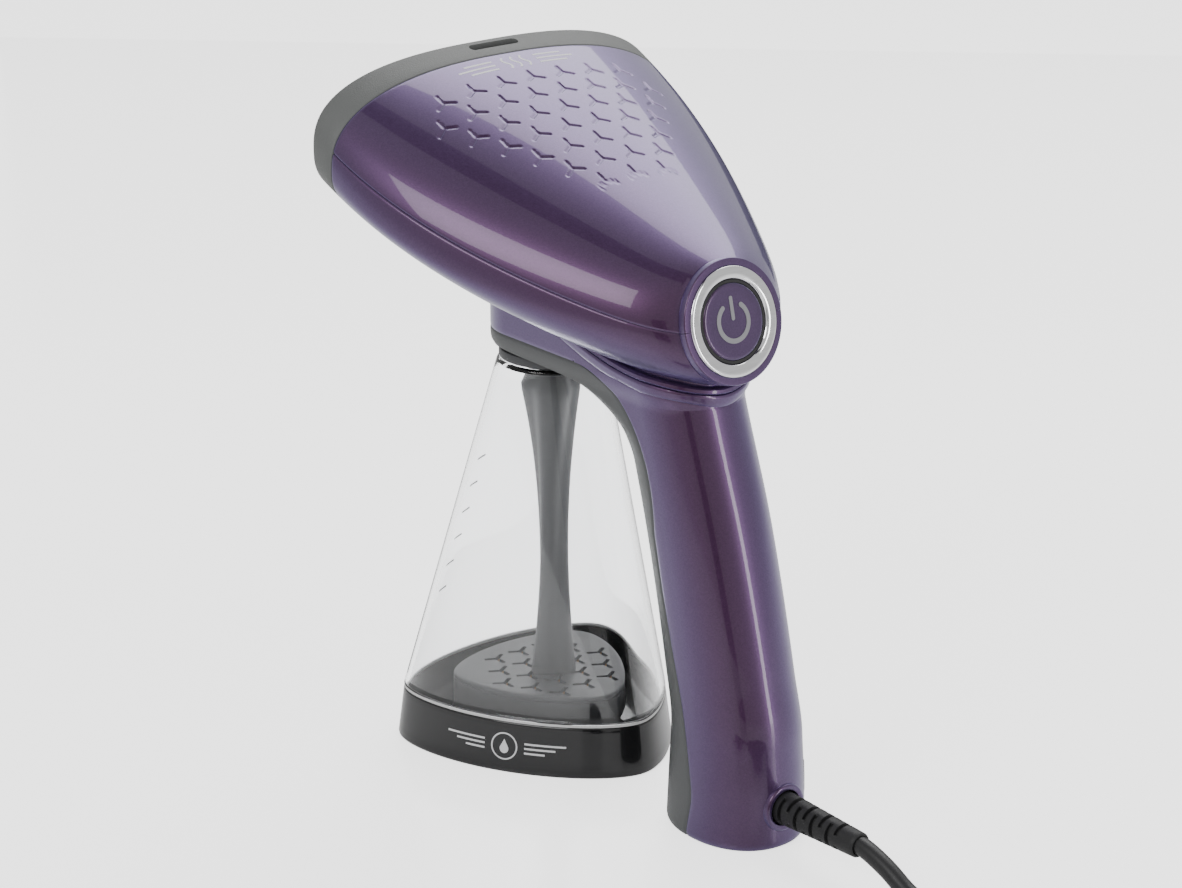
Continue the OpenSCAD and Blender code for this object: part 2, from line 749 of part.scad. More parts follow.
module mains_wires() {
    color([0.45, 0.25, 0.15]) for (side = [-1, 1])
        tube_along([[side * wire_x, 103.3, exit_z], [side * wire_x * 2, 101, exit_z + 14],
            [side * 10, 106, 60], [side * 13, 100, 85], [side * 14, 92, 112],
            [side * 13, 86, neck_z - 10], [side * 8, 80, neck_z + 12]], 1.2, 6, 1);
}

// ---- water tank ----

tank_mid_y = -2.8;
// Rounded three-cornered outline: distance of the edge along its own normal
function lobe(r, corner, inset, angle) = r - inset + corner * cos(3 * angle)
    - 0.043 * corner * cos(6 * angle);
function lobe_slope(corner, angle) = -3 * corner * sin(3 * angle)
    + 6 * 0.043 * corner * sin(6 * angle);
function lobe_ring(r, corner, mid, inset, z) = [for (i = [0:47])
    let (a = i * 7.5, h = lobe(r, corner, inset, a), s = lobe_slope(corner, a))
    [h * sin(a) + s * cos(a), mid + h * cos(a) - s * sin(a), z]];

function tank_ring(z, inset) =
    let (t = (z - rim_z) / (shoulder_z - rim_z))
    lobe_ring(mix(tank_foot_r, shoulder_r, t), tank_corner * (1 - t), tank_mid_y * (1 - t), inset, z);

module tank_solid(inset, z0, z1) {
    loft([for (z = [z0, mix(z0, z1, 0.5), z1]) tank_ring(z, inset)]);
}

module base_solid(inset, z0, z1) {
    loft([for (z = z0 == 0 ? [0, 0.5, 1.5, z1] : [z0, z1])
        lobe_ring(mix(tank_foot_r + base_flare, tank_foot_r, z / base_h)
            - (z < 1.5 ? 1 - z / 1.5 : 0), tank_corner, tank_mid_y, inset, z)]);
}

module tank_body() {
    color([0.85, 0.90, 0.93, 0.35]) difference() {
        union() {
            tank_solid(0, rim_z, shoulder_z);
            translate([0, 0, shoulder_z - 3]) cylinder(h = 3 + spigot_h, r = spigot_r);
        }
        tank_solid(tank_wall, rim_z - 0.1, shoulder_z - 2);
        translate([0, 0, shoulder_z - 5]) cylinder(h = spigot_h + 10, r = spigot_bore_r);
    }
}

module tank_collar() {
    color([0.16, 0.16, 0.17]) translate([0, 0, shoulder_z + seat]) difference() {
        cylinder(h = neck_z - shoulder_z - seat - 1.4, r = shoulder_r - 0.4);
        translate([0, 0, -1]) cylinder(h = 8, r = spigot_r + fit);
    }
}

module tank_base() {
    color([0.05, 0.05, 0.06]) {
        difference() {
            base_solid(0, 0, base_h);
            base_solid(2.5, 6, base_h + 1);
        }
        difference() {
            translate([0, 0, 5]) cylinder(h = filter_z - 5, r = 9);
            translate([0, 0, 6.5]) cylinder(h = 10, r = 7.5);
        }
    }
}

module tank_base_seal() {
    color([0.85, 0.85, 0.86]) difference() {
        loft([for (z = [base_h, rim_z]) lobe_ring(tank_foot_r, tank_corner, tank_mid_y, 0.05, z)]);
        loft([for (z = [base_h - 1, rim_z + 1]) lobe_ring(tank_foot_r, tank_corner, tank_mid_y, 2.2, z)]);
    }
}

// ---- filter stem and cartridge inside the tank ----

filter_corner = 3.6;
stem_foot_z = filter_top + 0.1;
stem_top = shoulder_z - 4;
function stem_r(z) =
    let (t = (z - stem_foot_z) / (stem_top - stem_foot_z))
    bezier([9.2, stem_waist_r - 1.2, stem_waist_r - 1.6, stem_top_r + 1], min(t / 0.93, 1))
        - (t > 0.93 ? 5 * (t - 0.93) / 0.07 : 0);
function stem_ring(z) =
    let (r = stem_r(z), turn = 60 * (z - stem_foot_z) / (stem_top - stem_foot_z))
    [for (i = [0:23]) let (a = 15 * i, q = r * (0.86 + 0.14 * cos(3 * (a - turn))))
        [q * sin(a), q * cos(a), z]];

module filter_stem() {
    color([0.24, 0.24, 0.25]) difference() {
        union() {
            loft([for (j = [0:14]) stem_ring(mix(stem_foot_z, stem_top, j / 14))]);
            translate([0, 0, stem_top - 1]) cylinder(h = spigot_top + 3 - stem_top, r = spout_r);
        }
        translate([0, 0, stem_foot_z - 1]) cylinder(h = spigot_top, r = suction_r + fit);
    }
}

module suction_tube() {
    color([0.90, 0.90, 0.88]) translate([0, 0, filter_z + 4]) difference() {
        cylinder(h = spigot_top + 3 - filter_z - 4, r = suction_r);
        translate([0, 0, -1]) cylinder(h = spigot_top, r = suction_bore_r);
    }
}

module filter_outline(inset, z0, z1) {
    loft([for (z = [z0, z1]) lobe_ring(filter_r, filter_corner, -2.6, inset, z)]);
}

module filter_cartridge() {
    color([0.13, 0.13, 0.14]) difference() {
        filter_outline(0, filter_z, filter_top - 2);
        filter_outline(2, filter_z + 2, filter_top);
    }
}

// Three-armed openings in a honeycomb layout
module tri_slots(size, width, height) {
    for (a = [90:120:330]) rotate([0, 0, a]) translate([0, -width / 2, 0]) cube([size, width, height]);
}

grille_pitch = 11.5;

module filter_grille() {
    color([0.22, 0.22, 0.23]) difference() {
        filter_outline(0, filter_top - 2, filter_top);
        for (row = [-2:2], col = [-2:2])
            let (x = (col + (row % 2 != 0 ? 0.5 : 0)) * grille_pitch, y = row * grille_pitch * 0.87)
            if (norm([x, y]) > 11.5 && norm([x, y]) < 25) translate([x, y, filter_top - 3])
                tri_slots(4.4, 1.3, 4);
        translate([0, 0, filter_top - 3]) cylinder(h = 4, r = suction_r + fit);
    }
}

module filter_granules() {
    color([0.85, 0.70, 0.40]) difference() {
        filter_outline(2.4, filter_z + 2.2, filter_top - 4);
        translate([0, 0, filter_z]) cylinder(h = filter_h, r = suction_r + 0.3);
    }
}

// ---- mains lead ----

relief_tip_r = cord_d / 2 + 1.1;

module strain_relief() {
    color([0.14, 0.14, 0.15]) translate([0, 0, exit_z]) rotate([-90, 0, 0])
        translate([0, 0, exit_y - 10]) difference() {
            union() {
                cylinder(h = relief_length + 12, r1 = relief_d / 2, r2 = relief_tip_r);
                cylinder(h = 4, r = relief_d / 2);
            }
            translate([0, 0, -1]) cylinder(h = relief_length + 14, r = cord_d / 2);
        }
}

coil_x = coil_r + 1.5 * cord_d;
coil_y = 272;
coil_h = 2 * cord_d;
coil_half_w = 2 * cord_d;
cord_points = [[0, 105, 15.5], [0, 130, 15.5], [0, 160, 15.5], [0, 172, 15.5], [0, 184, 12],
    [0, 196, 6.5], [-1, 208, 4], [-2, 222, 3.6], [-2, 238, 3.6], [-1, 255, 3.6], [0, 272, 3.6]];
tail_points = [[90, 310, 10.5], [100, 299.5, 8.5], [110, 288, 5.5], [118, 275.5, 4.4],
    [124, 263, 6], [127, 252, 9], [128, 243, 10.8], [128, 230, 11]];

module power_cord() {
    color([0.10, 0.10, 0.11]) {
        tube_along(cord_points, cord_d / 2 - 0.05, 10, 2);
        tube_along(tail_points, cord_d / 2 - 0.05, 10, 2);
    }
}

module cord_coil() {
    color([0.10, 0.10, 0.11]) translate([coil_x, coil_y, 0.1]) rotate_extrude()
        translate([coil_r - coil_half_w, 0]) square([2 * coil_half_w, coil_h]);
}

module cord_tie() {
    color([0.20, 0.20, 0.20]) translate([coil_x + coil_r, coil_y, 0]) difference() {
        translate([-coil_half_w - 2.2, -5, 0.02]) cube([2 * coil_half_w + 3.7, 10, coil_h + 1.4]);
        translate([-coil_half_w - 0.9, -6, 0.1]) cube([2 * coil_half_w + 1.1, 12, coil_h + 0.1]);
    }
}

pin_shank_r = pin_r - 0.5;

module plug_body() {
    color([0.10, 0.10, 0.11]) translate([plug_x, plug_rear, plug_z]) rotate([90, 0, 0]) {
        difference() {
            union() {
                hull() {
                    for (x = [-1, 1]) translate([x * (plug_w - plug_t) / 2, 0, plug_length - 10])
                        cylinder(h = 10, r = plug_t / 2, $fn = 32);
                    translate([0, 0, 4]) cylinder(h = 2, r = 7.5, $fn = 32);
                }
                translate([0, 0, -8]) cylinder(h = 14, r = 5.5);
            }
            translate([0, 0, -9]) cylinder(h = 14, r = cord_d / 2);
            for (x = [-1, 1]) translate([x * pin_pitch / 2, 0, plug_length - 8]) cylinder(h = 9, r = pin_shank_r);
        }
    }
}

module plug_pins() {
    color([0.85, 0.85, 0.86]) for (x = [-1, 1])
        translate([plug_x + x * pin_pitch / 2, plug_rear - plug_length + 8, plug_z]) rotate([90, 0, 0]) {
            cylinder(h = 9, r = pin_shank_r - 0.02);
            translate([0, 0, 8.02]) cylinder(h = pin_length - 0.02, r = pin_r);
        }
}

head_upper_shell();
head_lower_shell();
front_bezel();
steam_plate();
plate_gasket();
steam_chamber();
chamber_screws();
heating_element();
thermostat();
thermal_fuse();
water_inlet();
heat_shield();
button_ring();
button_housing();
power_button();
button_icon();
power_switch();
control_board();
handle_shell();
front_trim();
trim_screws();
docking_socket();
tank_seal();
inlet_hose();
outlet_hose();
pump_body();
pump_coil();
pump_plunger();
pump_spring();
cord_clamp();
clamp_screws();
mains_wires();
rating_plate();
tank_body();
tank_base();
tank_base_seal();
tank_collar();
filter_stem();
suction_tube();
filter_cartridge();
filter_grille();
filter_granules();
strain_relief();
power_cord();
cord_coil();
cord_tie();
plug_body();
plug_pins();
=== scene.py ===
import json
import math

import bmesh
import bpy
import numpy as np
from mathutils import Matrix, Vector


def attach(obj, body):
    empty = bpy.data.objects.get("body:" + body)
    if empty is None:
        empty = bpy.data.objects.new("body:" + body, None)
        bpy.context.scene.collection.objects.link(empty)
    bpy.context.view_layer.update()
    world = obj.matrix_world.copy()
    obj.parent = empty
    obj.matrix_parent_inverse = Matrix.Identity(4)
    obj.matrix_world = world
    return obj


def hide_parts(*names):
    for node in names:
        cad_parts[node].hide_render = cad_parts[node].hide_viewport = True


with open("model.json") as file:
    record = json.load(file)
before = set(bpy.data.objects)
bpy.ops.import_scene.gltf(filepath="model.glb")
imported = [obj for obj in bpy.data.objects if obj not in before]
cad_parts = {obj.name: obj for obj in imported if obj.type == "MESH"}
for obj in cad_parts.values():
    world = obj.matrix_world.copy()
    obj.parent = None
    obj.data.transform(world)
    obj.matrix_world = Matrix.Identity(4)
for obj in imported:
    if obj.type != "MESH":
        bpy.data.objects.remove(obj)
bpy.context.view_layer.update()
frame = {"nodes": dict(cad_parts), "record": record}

MM = 0.001

# ---------------------------------------------------------------- camera

CAMERA_YAW, CAMERA_PITCH = math.radians(-39.28), math.radians(-19.73)


def add_camera():
    """Camera a little above the steamer, behind its right shoulder."""
    yaw, pitch = CAMERA_YAW, CAMERA_PITCH
    look = Vector((math.sin(yaw) * math.cos(pitch), -math.cos(yaw) * math.cos(pitch), math.sin(pitch)))
    right = look.cross(Vector((0, 0, 1))).normalized()
    up = right.cross(look)
    lens = bpy.data.cameras.new("camera")
    lens.sensor_width = 36
    lens.lens = 97.19
    lens.clip_end = 20
    camera = bpy.data.objects.new("camera", lens)
    camera.matrix_world = Matrix((right, up, -look)).transposed().to_4x4()
    camera.location = (0.7024, 0.882, 0.5205)
    bpy.context.collection.objects.link(camera)
    bpy.context.scene.camera = camera


add_camera()

# ---------------------------------------------------------------- mesh helpers

def new_object(name, verts, faces, smooth=True):
    mesh = bpy.data.meshes.new(name)
    mesh.from_pydata([tuple(v) for v in verts], [], [tuple(f) for f in faces])
    mesh.validate()
    mesh.update()
    obj = bpy.data.objects.new(name, mesh)
    bpy.context.collection.objects.link(obj)
    if smooth:
        mesh.shade_smooth()
    return obj


def crisp(obj, angle=35):
    """Smooth shading with sharp edges kept."""
    mesh = obj.data
    mesh.shade_smooth()
    bm = bmesh.new()
    bm.from_mesh(mesh)
    limit = math.radians(angle)
    for edge in bm.edges:
        edge.smooth = len(edge.link_faces) == 2 and edge.calc_face_angle(0) < limit
    bm.to_mesh(mesh)
    bm.free()


def grid_faces(rows, cols, close_cols=False, close_rows=False, mask=None):
    """Quads of a grid of points. A mask leaves cells out, and a closed grid wraps round."""
    faces = []
    for j in range(rows if close_rows else rows - 1):
        for i in range(cols if close_cols else cols - 1):
            if mask is not None and not mask[j][i]:
                continue
            a, b = j * cols + i, j * cols + (i + 1) % cols
            c, d = ((j + 1) % rows) * cols + (i + 1) % cols, ((j + 1) % rows) * cols + i
            faces.append((a, b, c, d))
    return faces


def grid_object(name, points, close_cols=False, close_rows=False, mask=None):
    rows, cols = points.shape[:2]
    faces = grid_faces(rows, cols, close_cols, close_rows, mask)
    obj = new_object(name, points.reshape(-1, 3) * MM, faces)
    clean(obj)
    return obj


def clean(obj, distance=1e-6):
    """Weld doubled points, drop loose ones and face everything outwards."""
    bm = bmesh.new()
    bm.from_mesh(obj.data)
    bmesh.ops.remove_doubles(bm, verts=bm.verts, dist=distance)
    bmesh.ops.delete(bm, geom=[v for v in bm.verts if not v.link_faces], context="VERTS")
    bmesh.ops.recalc_face_normals(bm, faces=bm.faces)
    bm.to_mesh(obj.data)
    bm.free()


def apply(obj):
    """Bake an object's modifiers into its mesh."""
    depsgraph = bpy.context.evaluated_depsgraph_get()
    mesh = bpy.data.meshes.new_from_object(obj.evaluated_get(depsgraph))
    old = obj.data
    obj.modifiers.clear()
    obj.data = mesh
    bpy.data.meshes.remove(old)


def cut(obj, cutter):
    """Take the cutter's space out of an object, and delete the cutter."""
    modifier = obj.modifiers.new("cut", "BOOLEAN")
    modifier.operation = "DIFFERENCE"
    modifier.solver = "EXACT"
    modifier.object = cutter
    apply(obj)
    bpy.data.objects.remove(cutter)


def closed_shell(name, outer, inner, mask=None):
    """A sheet with thickness: outer and inner grids joined round every border of the cells that are kept."""
    rows, cols = outer.shape[:2]
    count = rows * cols
    kept = np.zeros((rows + 1, cols + 1), bool)
    kept[1:rows, 1:cols] = True if mask is None else mask
    faces = []
    for j in range(rows - 1):
        for i in range(cols - 1):
            if not kept[j + 1, i + 1]:
                continue
            a, b, c, d = j * cols + i, j * cols + i + 1, (j + 1) * cols + i + 1, (j + 1) * cols + i
            faces += [(a, b, c, d), (count + d, count + c, count + b, count + a)]
            for there, p, q in ((kept[j, i + 1], a, b), (kept[j + 1, i + 2], b, c),
                                (kept[j + 2, i + 1], c, d), (kept[j + 1, i], d, a)):
                if not there:
                    faces.append((q, p, count + p, count + q))
    obj = new_object(name, np.concatenate([outer.reshape(-1, 3), inner.reshape(-1, 3)]) * MM, faces)
    clean(obj)
    return obj


def join(name, objects):
    """Make one piece of several islands."""
    bm = bmesh.new()
    for obj in objects:
        bm.from_mesh(obj.data)
        bpy.data.objects.remove(obj)
    mesh = bpy.data.meshes.new(name)
    bm.to_mesh(mesh)
    bm.free()
    obj = bpy.data.objects.new(name, mesh)
    bpy.context.collection.objects.link(obj)
    return obj


def lathe(name, profile, matrix, steps=96, start=0.0, sweep=360.0):
    """Turn a closed (radius, height) profile about the matrix's Z axis."""
    whole = sweep >= 360
    count = steps if whole else steps + 1
    points = np.zeros((len(profile), count, 3))
    for j, (r, h) in enumerate(profile):
        for i in range(count):
            a = math.radians(start + sweep * i / steps)
            points[j, i] = (r * math.cos(a), r * math.sin(a), h)
    faces = grid_faces(len(profile), count, close_cols=whole, close_rows=True)
    if not whole:
        faces.append(tuple(j * count for j in range(len(profile))))
        faces.append(tuple(j * count + count - 1 for j in reversed(range(len(profile)))))
    obj = new_object(name, points.reshape(-1, 3) * MM, faces)
    obj.data.transform(matrix)
    clean(obj)
    return obj


def prism(name, outline, low, high, matrix=None):
    """Straight prism on a closed outline, in mm."""
    count = len(outline)
    verts = [(x * MM, y * MM, z * MM) for z in (low, high) for x, y in outline]
    faces = [tuple(reversed(range(count))), tuple(range(count, 2 * count))]
    faces += [(i, (i + 1) % count, count + (i + 1) % count, count + i) for i in range(count)]
    obj = new_object(name, verts, faces, smooth=False)
    if matrix is not None:
        obj.data.transform(matrix)
    clean(obj)
    return obj


def pchip(z, knots):
    """Smooth monotone curve through (z, value) knots."""
    x = np.array([k[0] for k in knots], float)
    y = np.array([k[1] for k in knots], float)
    h, d = np.diff(x), np.diff(y) / np.diff(x)
    m = np.zeros_like(y)
    for i in range(1, len(x) - 1):
        if d[i - 1] * d[i] > 0:
            w1, w2 = 2 * h[i] + h[i - 1], h[i] + 2 * h[i - 1]
            m[i] = (w1 + w2) / (w1 / d[i - 1] + w2 / d[i])
    m[0], m[-1] = d[0], d[-1]
    z = np.clip(np.asarray(z, float), x[0], x[-1])
    i = np.clip(np.searchsorted(x, z) - 1, 0, len(h) - 1)
    t = (z - x[i]) / h[i]
    return ((1 + 2 * t) * (1 - t) ** 2 * y[i] + t * (1 - t) ** 2 * h[i] * m[i]
            + t * t * (3 - 2 * t) * y[i + 1] + t * t * (t - 1) * h[i] * m[i + 1])


def bezier(p, t):
    return p[0] * (1 - t) ** 3 + 3 * p[1] * (1 - t) ** 2 * t + 3 * p[2] * (1 - t) * t * t + p[3] * t ** 3


def bent(v, e):
    return np.sign(v) * np.abs(v) ** e


def smoothstep(v):
    v = np.clip(v, 0, 1)
    return v * v * (3 - 2 * v)

# ---------------------------------------------------------------- mains lead

CORD_D, LEAD_LENGTH = 7.0, 1900.0
COIL_R = 42.0
COIL_X, COIL_Y = COIL_R + 1.5 * CORD_D, 272.0
LAYER_TURNS, COIL_TURNS, CLIMB = 3, 6.375, 0.25
LOW_Z, LAYER_RISE = 3.7, 6.85
LEAD_IN = [(0, 131, 15.5), (0, 145, 15.5), (0, 160, 15.5), (0, 172, 15.5), (0, 184, 12), (0, 196, 6.5),
           (-1, 208, 4.1), (-2, 222, 3.7), (-2, 238, 3.7), (-1, 255, 3.7)]
LEAD_OUT = [(100, 299.5, 8.5), (110, 288, 5.5), (118, 275.5, 4.4), (124, 263, 6), (127, 252, 9),
            (128, 243, 10.8), (128, 230, 11)]


def coil_points():
    """Two layers of turns side by side: spiralling in below and out again on top."""
    outer, inner = COIL_R + 1.5 * CORD_D - 0.3, COIL_R - 1.5 * CORD_D
    points = []
    steps = 40
    for i in range(int(COIL_TURNS * steps) + 1):
        n = i / steps
        if n <= LAYER_TURNS:
            radius = outer - CORD_D * n
        else:
            radius = inner + CORD_D * max(0, n - LAYER_TURNS - CLIMB)
        height = LOW_Z + LAYER_RISE * min(1, max(0, (n - LAYER_TURNS) / CLIMB))
        angle = math.pi - 2 * math.pi * n
        points.append((COIL_X + radius * math.cos(angle), COIL_Y + radius * math.sin(angle), height))
    return points


def through(points, steps):
    """Smooth curve through chosen points, with steps parts between each two."""
    p = np.array(points, float)
    out = []
    for i in range(len(p) - 1):
        a, b, c, d = p[max(i - 1, 0)], p[i], p[i + 1], p[min(i + 2, len(p) - 1)]
        for k in range(steps):
            t = k / steps
            out.append(0.5 * (2 * b + (c - a) * t + (2 * a - 5 * b + 4 * c - d) * t * t
                              + (3 * b - a - 3 * c + d) * t ** 3))
    out.append(p[-1])
    return np.array(out)


def make_lead(relief):
    """The lead as one swept curve: out of the grip's foot, round the coil and on to the plug."""
    coil = coil_points()
    route = LEAD_IN + coil[0:-1:4] + LEAD_OUT
    path = through(route, 5) * MM
    curve = bpy.data.curves.new("mains_lead", "CURVE")
    curve.dimensions = "3D"
    curve.bevel_depth = 1.0
    curve.bevel_resolution = 5
    curve.use_fill_caps = True
    spline = curve.splines.new("POLY")
    spline.points.add(len(path) - 1)
    for point, place in zip(spline.points, path):
        point.co = (*place, 1)
        point.radius = (CORD_D / 2 - 0.05) * MM
    lead = bpy.data.objects.new("mains_lead", curve)
    bpy.context.collection.objects.link(lead)
    for s in curve.splines:
        s.use_smooth = True
    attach(lead, "steamer")
    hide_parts("power_cord", "cord_coil")
    dress(lead, "cord_black")

# ---------------------------------------------------------------- material groups

def group_tree(name, inputs, outputs):
    """A node group with its sockets and their default values."""
    tree = bpy.data.node_groups.new(name, "ShaderNodeTree")
    for label, kind, value in inputs:
        socket = tree.interface.new_socket(name=label, in_out="INPUT", socket_type=kind)
        socket.default_value = value
    for label, kind in outputs:
        tree.interface.new_socket(name=label, in_out="OUTPUT", socket_type=kind)
    return tree, tree.nodes.new("NodeGroupInput"), tree.nodes.new("NodeGroupOutput")


def add(tree, kind, links=None, **settings):
    """A node with its settings, its plain input values and its links."""
    node = tree.nodes.new(kind)
    for key, value in settings.items():
        setattr(node, key, value)
    for socket, source in (links or {}).items():
        if isinstance(source, (int, float, tuple)):
            node.inputs[socket].default_value = source
        else:
            tree.links.new(source, node.inputs[socket])
    return node


def math_node(tree, operation, a, b=0.5):
    return add(tree, "ShaderNodeMath", {0: a, 1: b}, operation=operation).outputs[0]


def remap(tree, value, low, high):
    return add(tree, "ShaderNodeMapRange", {0: value, 1: 0.0, 2: 1.0, 3: low, 4: high}).outputs[0]


FLOAT, COLOR = "NodeSocketFloat", "NodeSocketColor"


def moulded_group():
    """Moulded surface: slow tone drift, fine grain, and roughness that varies with the grain."""
    tree, given, result = group_tree(
        "moulded surface",
        [("Color", COLOR, (0.5, 0.5, 0.5, 1)), ("Tone Drift", FLOAT, 0.06), ("Grain Scale", FLOAT, 1500.0),
         ("Roughness", FLOAT, 0.5), ("Roughness Spread", FLOAT, 0.08)],
        [("Color", COLOR), ("Roughness", FLOAT), ("Height", FLOAT)])
    place = tree.nodes.new("ShaderNodeTexCoord").outputs["Object"]
    drift = add(tree, "ShaderNodeTexNoise", {"Vector": place, "Scale": 28.0, "Detail": 3.0}).outputs["Fac"]
    grain = add(tree, "ShaderNodeTexNoise", {"Vector": place, "Scale": given.outputs["Grain Scale"],
                                             "Detail": 2.0}).outputs["Fac"]
    amount = math_node(tree, "MULTIPLY", math_node(tree, "SUBTRACT", drift), given.outputs["Tone Drift"])
    shade = math_node(tree, "ADD", math_node(tree, "MULTIPLY", amount, 4.0), 1.0)
    tinted = add(tree, "ShaderNodeVectorMath", {0: given.outputs["Color"], "Scale": shade},
                 operation="SCALE").outputs[0]
    spread = math_node(tree, "MULTIPLY", math_node(tree, "SUBTRACT", grain),
                       given.outputs["Roughness Spread"])
    rough = math_node(tree, "ADD", given.outputs["Roughness"], spread)
    tree.links.new(tinted, result.inputs["Color"])
    tree.links.new(rough, result.inputs["Roughness"])
    tree.links.new(grain, result.inputs["Height"])
    return tree


def flake_group():
    """Metal flakes under lacquer: small cells that differ in brightness and metalness."""
    tree, given, result = group_tree(
        "lacquer flakes",
        [("Color", COLOR, (0.3, 0.2, 0.4, 1)), ("Flake Scale", FLOAT, 2600.0), ("Sparkle", FLOAT, 0.35)],
        [("Color", COLOR), ("Metallic", FLOAT), ("Roughness", FLOAT)])
    place = tree.nodes.new("ShaderNodeTexCoord").outputs["Object"]
    cells = add(tree, "ShaderNodeTexVoronoi", {"Vector": place, "Scale": given.outputs["Flake Scale"]})
    cell = add(tree, "ShaderNodeSeparateColor", {0: cells.outputs["Color"]})
    drift = add(tree, "ShaderNodeTexNoise", {"Vector": place, "Scale": 18.0, "Detail": 2.0}).outputs["Fac"]
    bright = math_node(tree, "MULTIPLY", math_node(tree, "SUBTRACT", cell.outputs[0]),
                       given.outputs["Sparkle"])
    slow = math_node(tree, "MULTIPLY", math_node(tree, "SUBTRACT", drift), 0.16)
    shade = math_node(tree, "ADD", math_node(tree, "ADD", bright, slow), 1.0)
    tinted = add(tree, "ShaderNodeVectorMath", {0: given.outputs["Color"], "Scale": shade},
                 operation="SCALE").outputs[0]
    tree.links.new(tinted, result.inputs["Color"])
    tree.links.new(remap(tree, cell.outputs[1], 0.66, 0.8), result.inputs["Metallic"])
    tree.links.new(remap(tree, cell.outputs[2], 0.31, 0.36), result.inputs["Roughness"])
    return tree


def brushed_group():
    """Lines left by brushing along X, in roughness and height."""
    tree, given, result = group_tree(
        "brushed lines",
        [("Color", COLOR, (0.7, 0.7, 0.7, 1)), ("Line Scale", FLOAT, 900.0), ("Roughness", FLOAT, 0.3)],
        [("Color", COLOR), ("Roughness", FLOAT), ("Height", FLOAT)])
    place = tree.nodes.new("ShaderNodeTexCoord").outputs["Object"]
    thin = add(tree, "ShaderNodeVectorMath", {0: place, 1: (0.03, 1.0, 1.0)}, operation="MULTIPLY").outputs[0]
    lines = add(tree, "ShaderNodeTexNoise", {"Vector": thin, "Scale": given.outputs["Line Scale"],
                                             "Detail": 3.0}).outputs["Fac"]
    shade = remap(tree, lines, 0.86, 1.14)
    tinted = add(tree, "ShaderNodeVectorMath", {0: given.outputs["Color"], "Scale": shade},
                 operation="SCALE").outputs[0]
    rough = math_node(tree, "ADD", given.outputs["Roughness"], remap(tree, lines, -0.08, 0.12))
    tree.links.new(tinted, result.inputs["Color"])
    tree.links.new(rough, result.inputs["Roughness"])
    tree.links.new(lines, result.inputs["Height"])
    return tree


MOULDED, FLAKES, BRUSHED = moulded_group(), flake_group(), brushed_group()


def srgb(r, g, b):
    def linear(c):
        c = c / 255
        return c / 12.92 if c <= 0.04045 else ((c + 0.055) / 1.055) ** 2.4
    return (linear(r), linear(g), linear(b), 1.0)


def blank_material(name):
    material = bpy.data.materials.new(name)
    material.use_nodes = True
    tree = material.node_tree
    shader = next(n for n in tree.nodes if n.type == "BSDF_PRINCIPLED")
    return material, tree, shader


def bump(tree, shader, height, distance, strength=1.0):
    node = add(tree, "ShaderNodeBump", {"Height": height, "Distance": distance, "Strength": strength})
    tree.links.new(node.outputs["Normal"], shader.inputs["Normal"])


def moulded(name, color, roughness=0.45, spread=0.1, drift=0.03, grain=1500.0, depth=0.00003, coat=0.0,
            metallic=0.0, coat_roughness=0.05):
    material, tree, shader = blank_material(name)
    surface = add(tree, "ShaderNodeGroup", node_tree=MOULDED)
    surface.inputs["Color"].default_value = color
    surface.inputs["Tone Drift"].default_value = drift
    surface.inputs["Grain Scale"].default_value = grain
    surface.inputs["Roughness"].default_value = roughness
    surface.inputs["Roughness Spread"].default_value = spread
    tree.links.new(surface.outputs["Color"], shader.inputs["Base Color"])
    tree.links.new(surface.outputs["Roughness"], shader.inputs["Roughness"])
    shader.inputs["Coat Weight"].default_value = coat
    shader.inputs["Coat Roughness"].default_value = coat_roughness
    shader.inputs["Metallic"].default_value = metallic
    if depth:
        bump(tree, shader, surface.outputs["Height"], depth)
    return material


def brushed(name, color, roughness=0.28, depth=0.00001):
    material, tree, shader = blank_material(name)
    surface = add(tree, "ShaderNodeGroup", node_tree=BRUSHED)
    surface.inputs["Color"].default_value = color
    surface.inputs["Roughness"].default_value = roughness
    tree.links.new(surface.outputs["Color"], shader.inputs["Base Color"])
    tree.links.new(surface.outputs["Roughness"], shader.inputs["Roughness"])
    shader.inputs["Metallic"].default_value = 1.0
    bump(tree, shader, surface.outputs["Height"], depth)
    return material


def violet_lacquer(name, color, glancing_sheen, sparkle=0.3):
    material, tree, shader = blank_material(name)
    surface = add(tree, "ShaderNodeGroup", node_tree=FLAKES)
    # Painted sheen: the base colour lightens towards the second, lavender colour where the surface is seen at
    # a glancing angle, standing in for the lacquer's lavender highlights.
    facing = add(tree, "ShaderNodeLayerWeight", {"Blend": 0.4}).outputs["Facing"]
    shift = add(tree, "ShaderNodeMix", {0: facing, 6: color, 7: glancing_sheen}, data_type="RGBA").outputs[2]
    tree.links.new(shift, surface.inputs["Color"])
    surface.inputs["Sparkle"].default_value = sparkle
    tree.links.new(surface.outputs["Color"], shader.inputs["Base Color"])
    tree.links.new(surface.outputs["Metallic"], shader.inputs["Metallic"])
    tree.links.new(surface.outputs["Roughness"], shader.inputs["Roughness"])
    shader.inputs["Coat Weight"].default_value = 0.7
    shader.inputs["Coat Roughness"].default_value = 0.04
    shader.inputs["Coat IOR"].default_value = 1.5
    return material


def clear_plastic():
    """Clear moulded tank: a hint of blue, with faint flow marks."""
    material, tree, shader = blank_material("clear tank plastic")
    place = tree.nodes.new("ShaderNodeTexCoord").outputs["Object"]
    marks = add(tree, "ShaderNodeTexNoise", {"Vector": place, "Scale": 60.0, "Detail": 2.0}).outputs["Fac"]
    tree.links.new(remap(tree, marks, 0.0, 0.05), shader.inputs["Roughness"])
    shader.inputs["Base Color"].default_value = (0.985, 0.992, 1.0, 1)
    shader.inputs["Transmission Weight"].default_value = 1.0
    shader.inputs["IOR"].default_value = 1.45
    return material


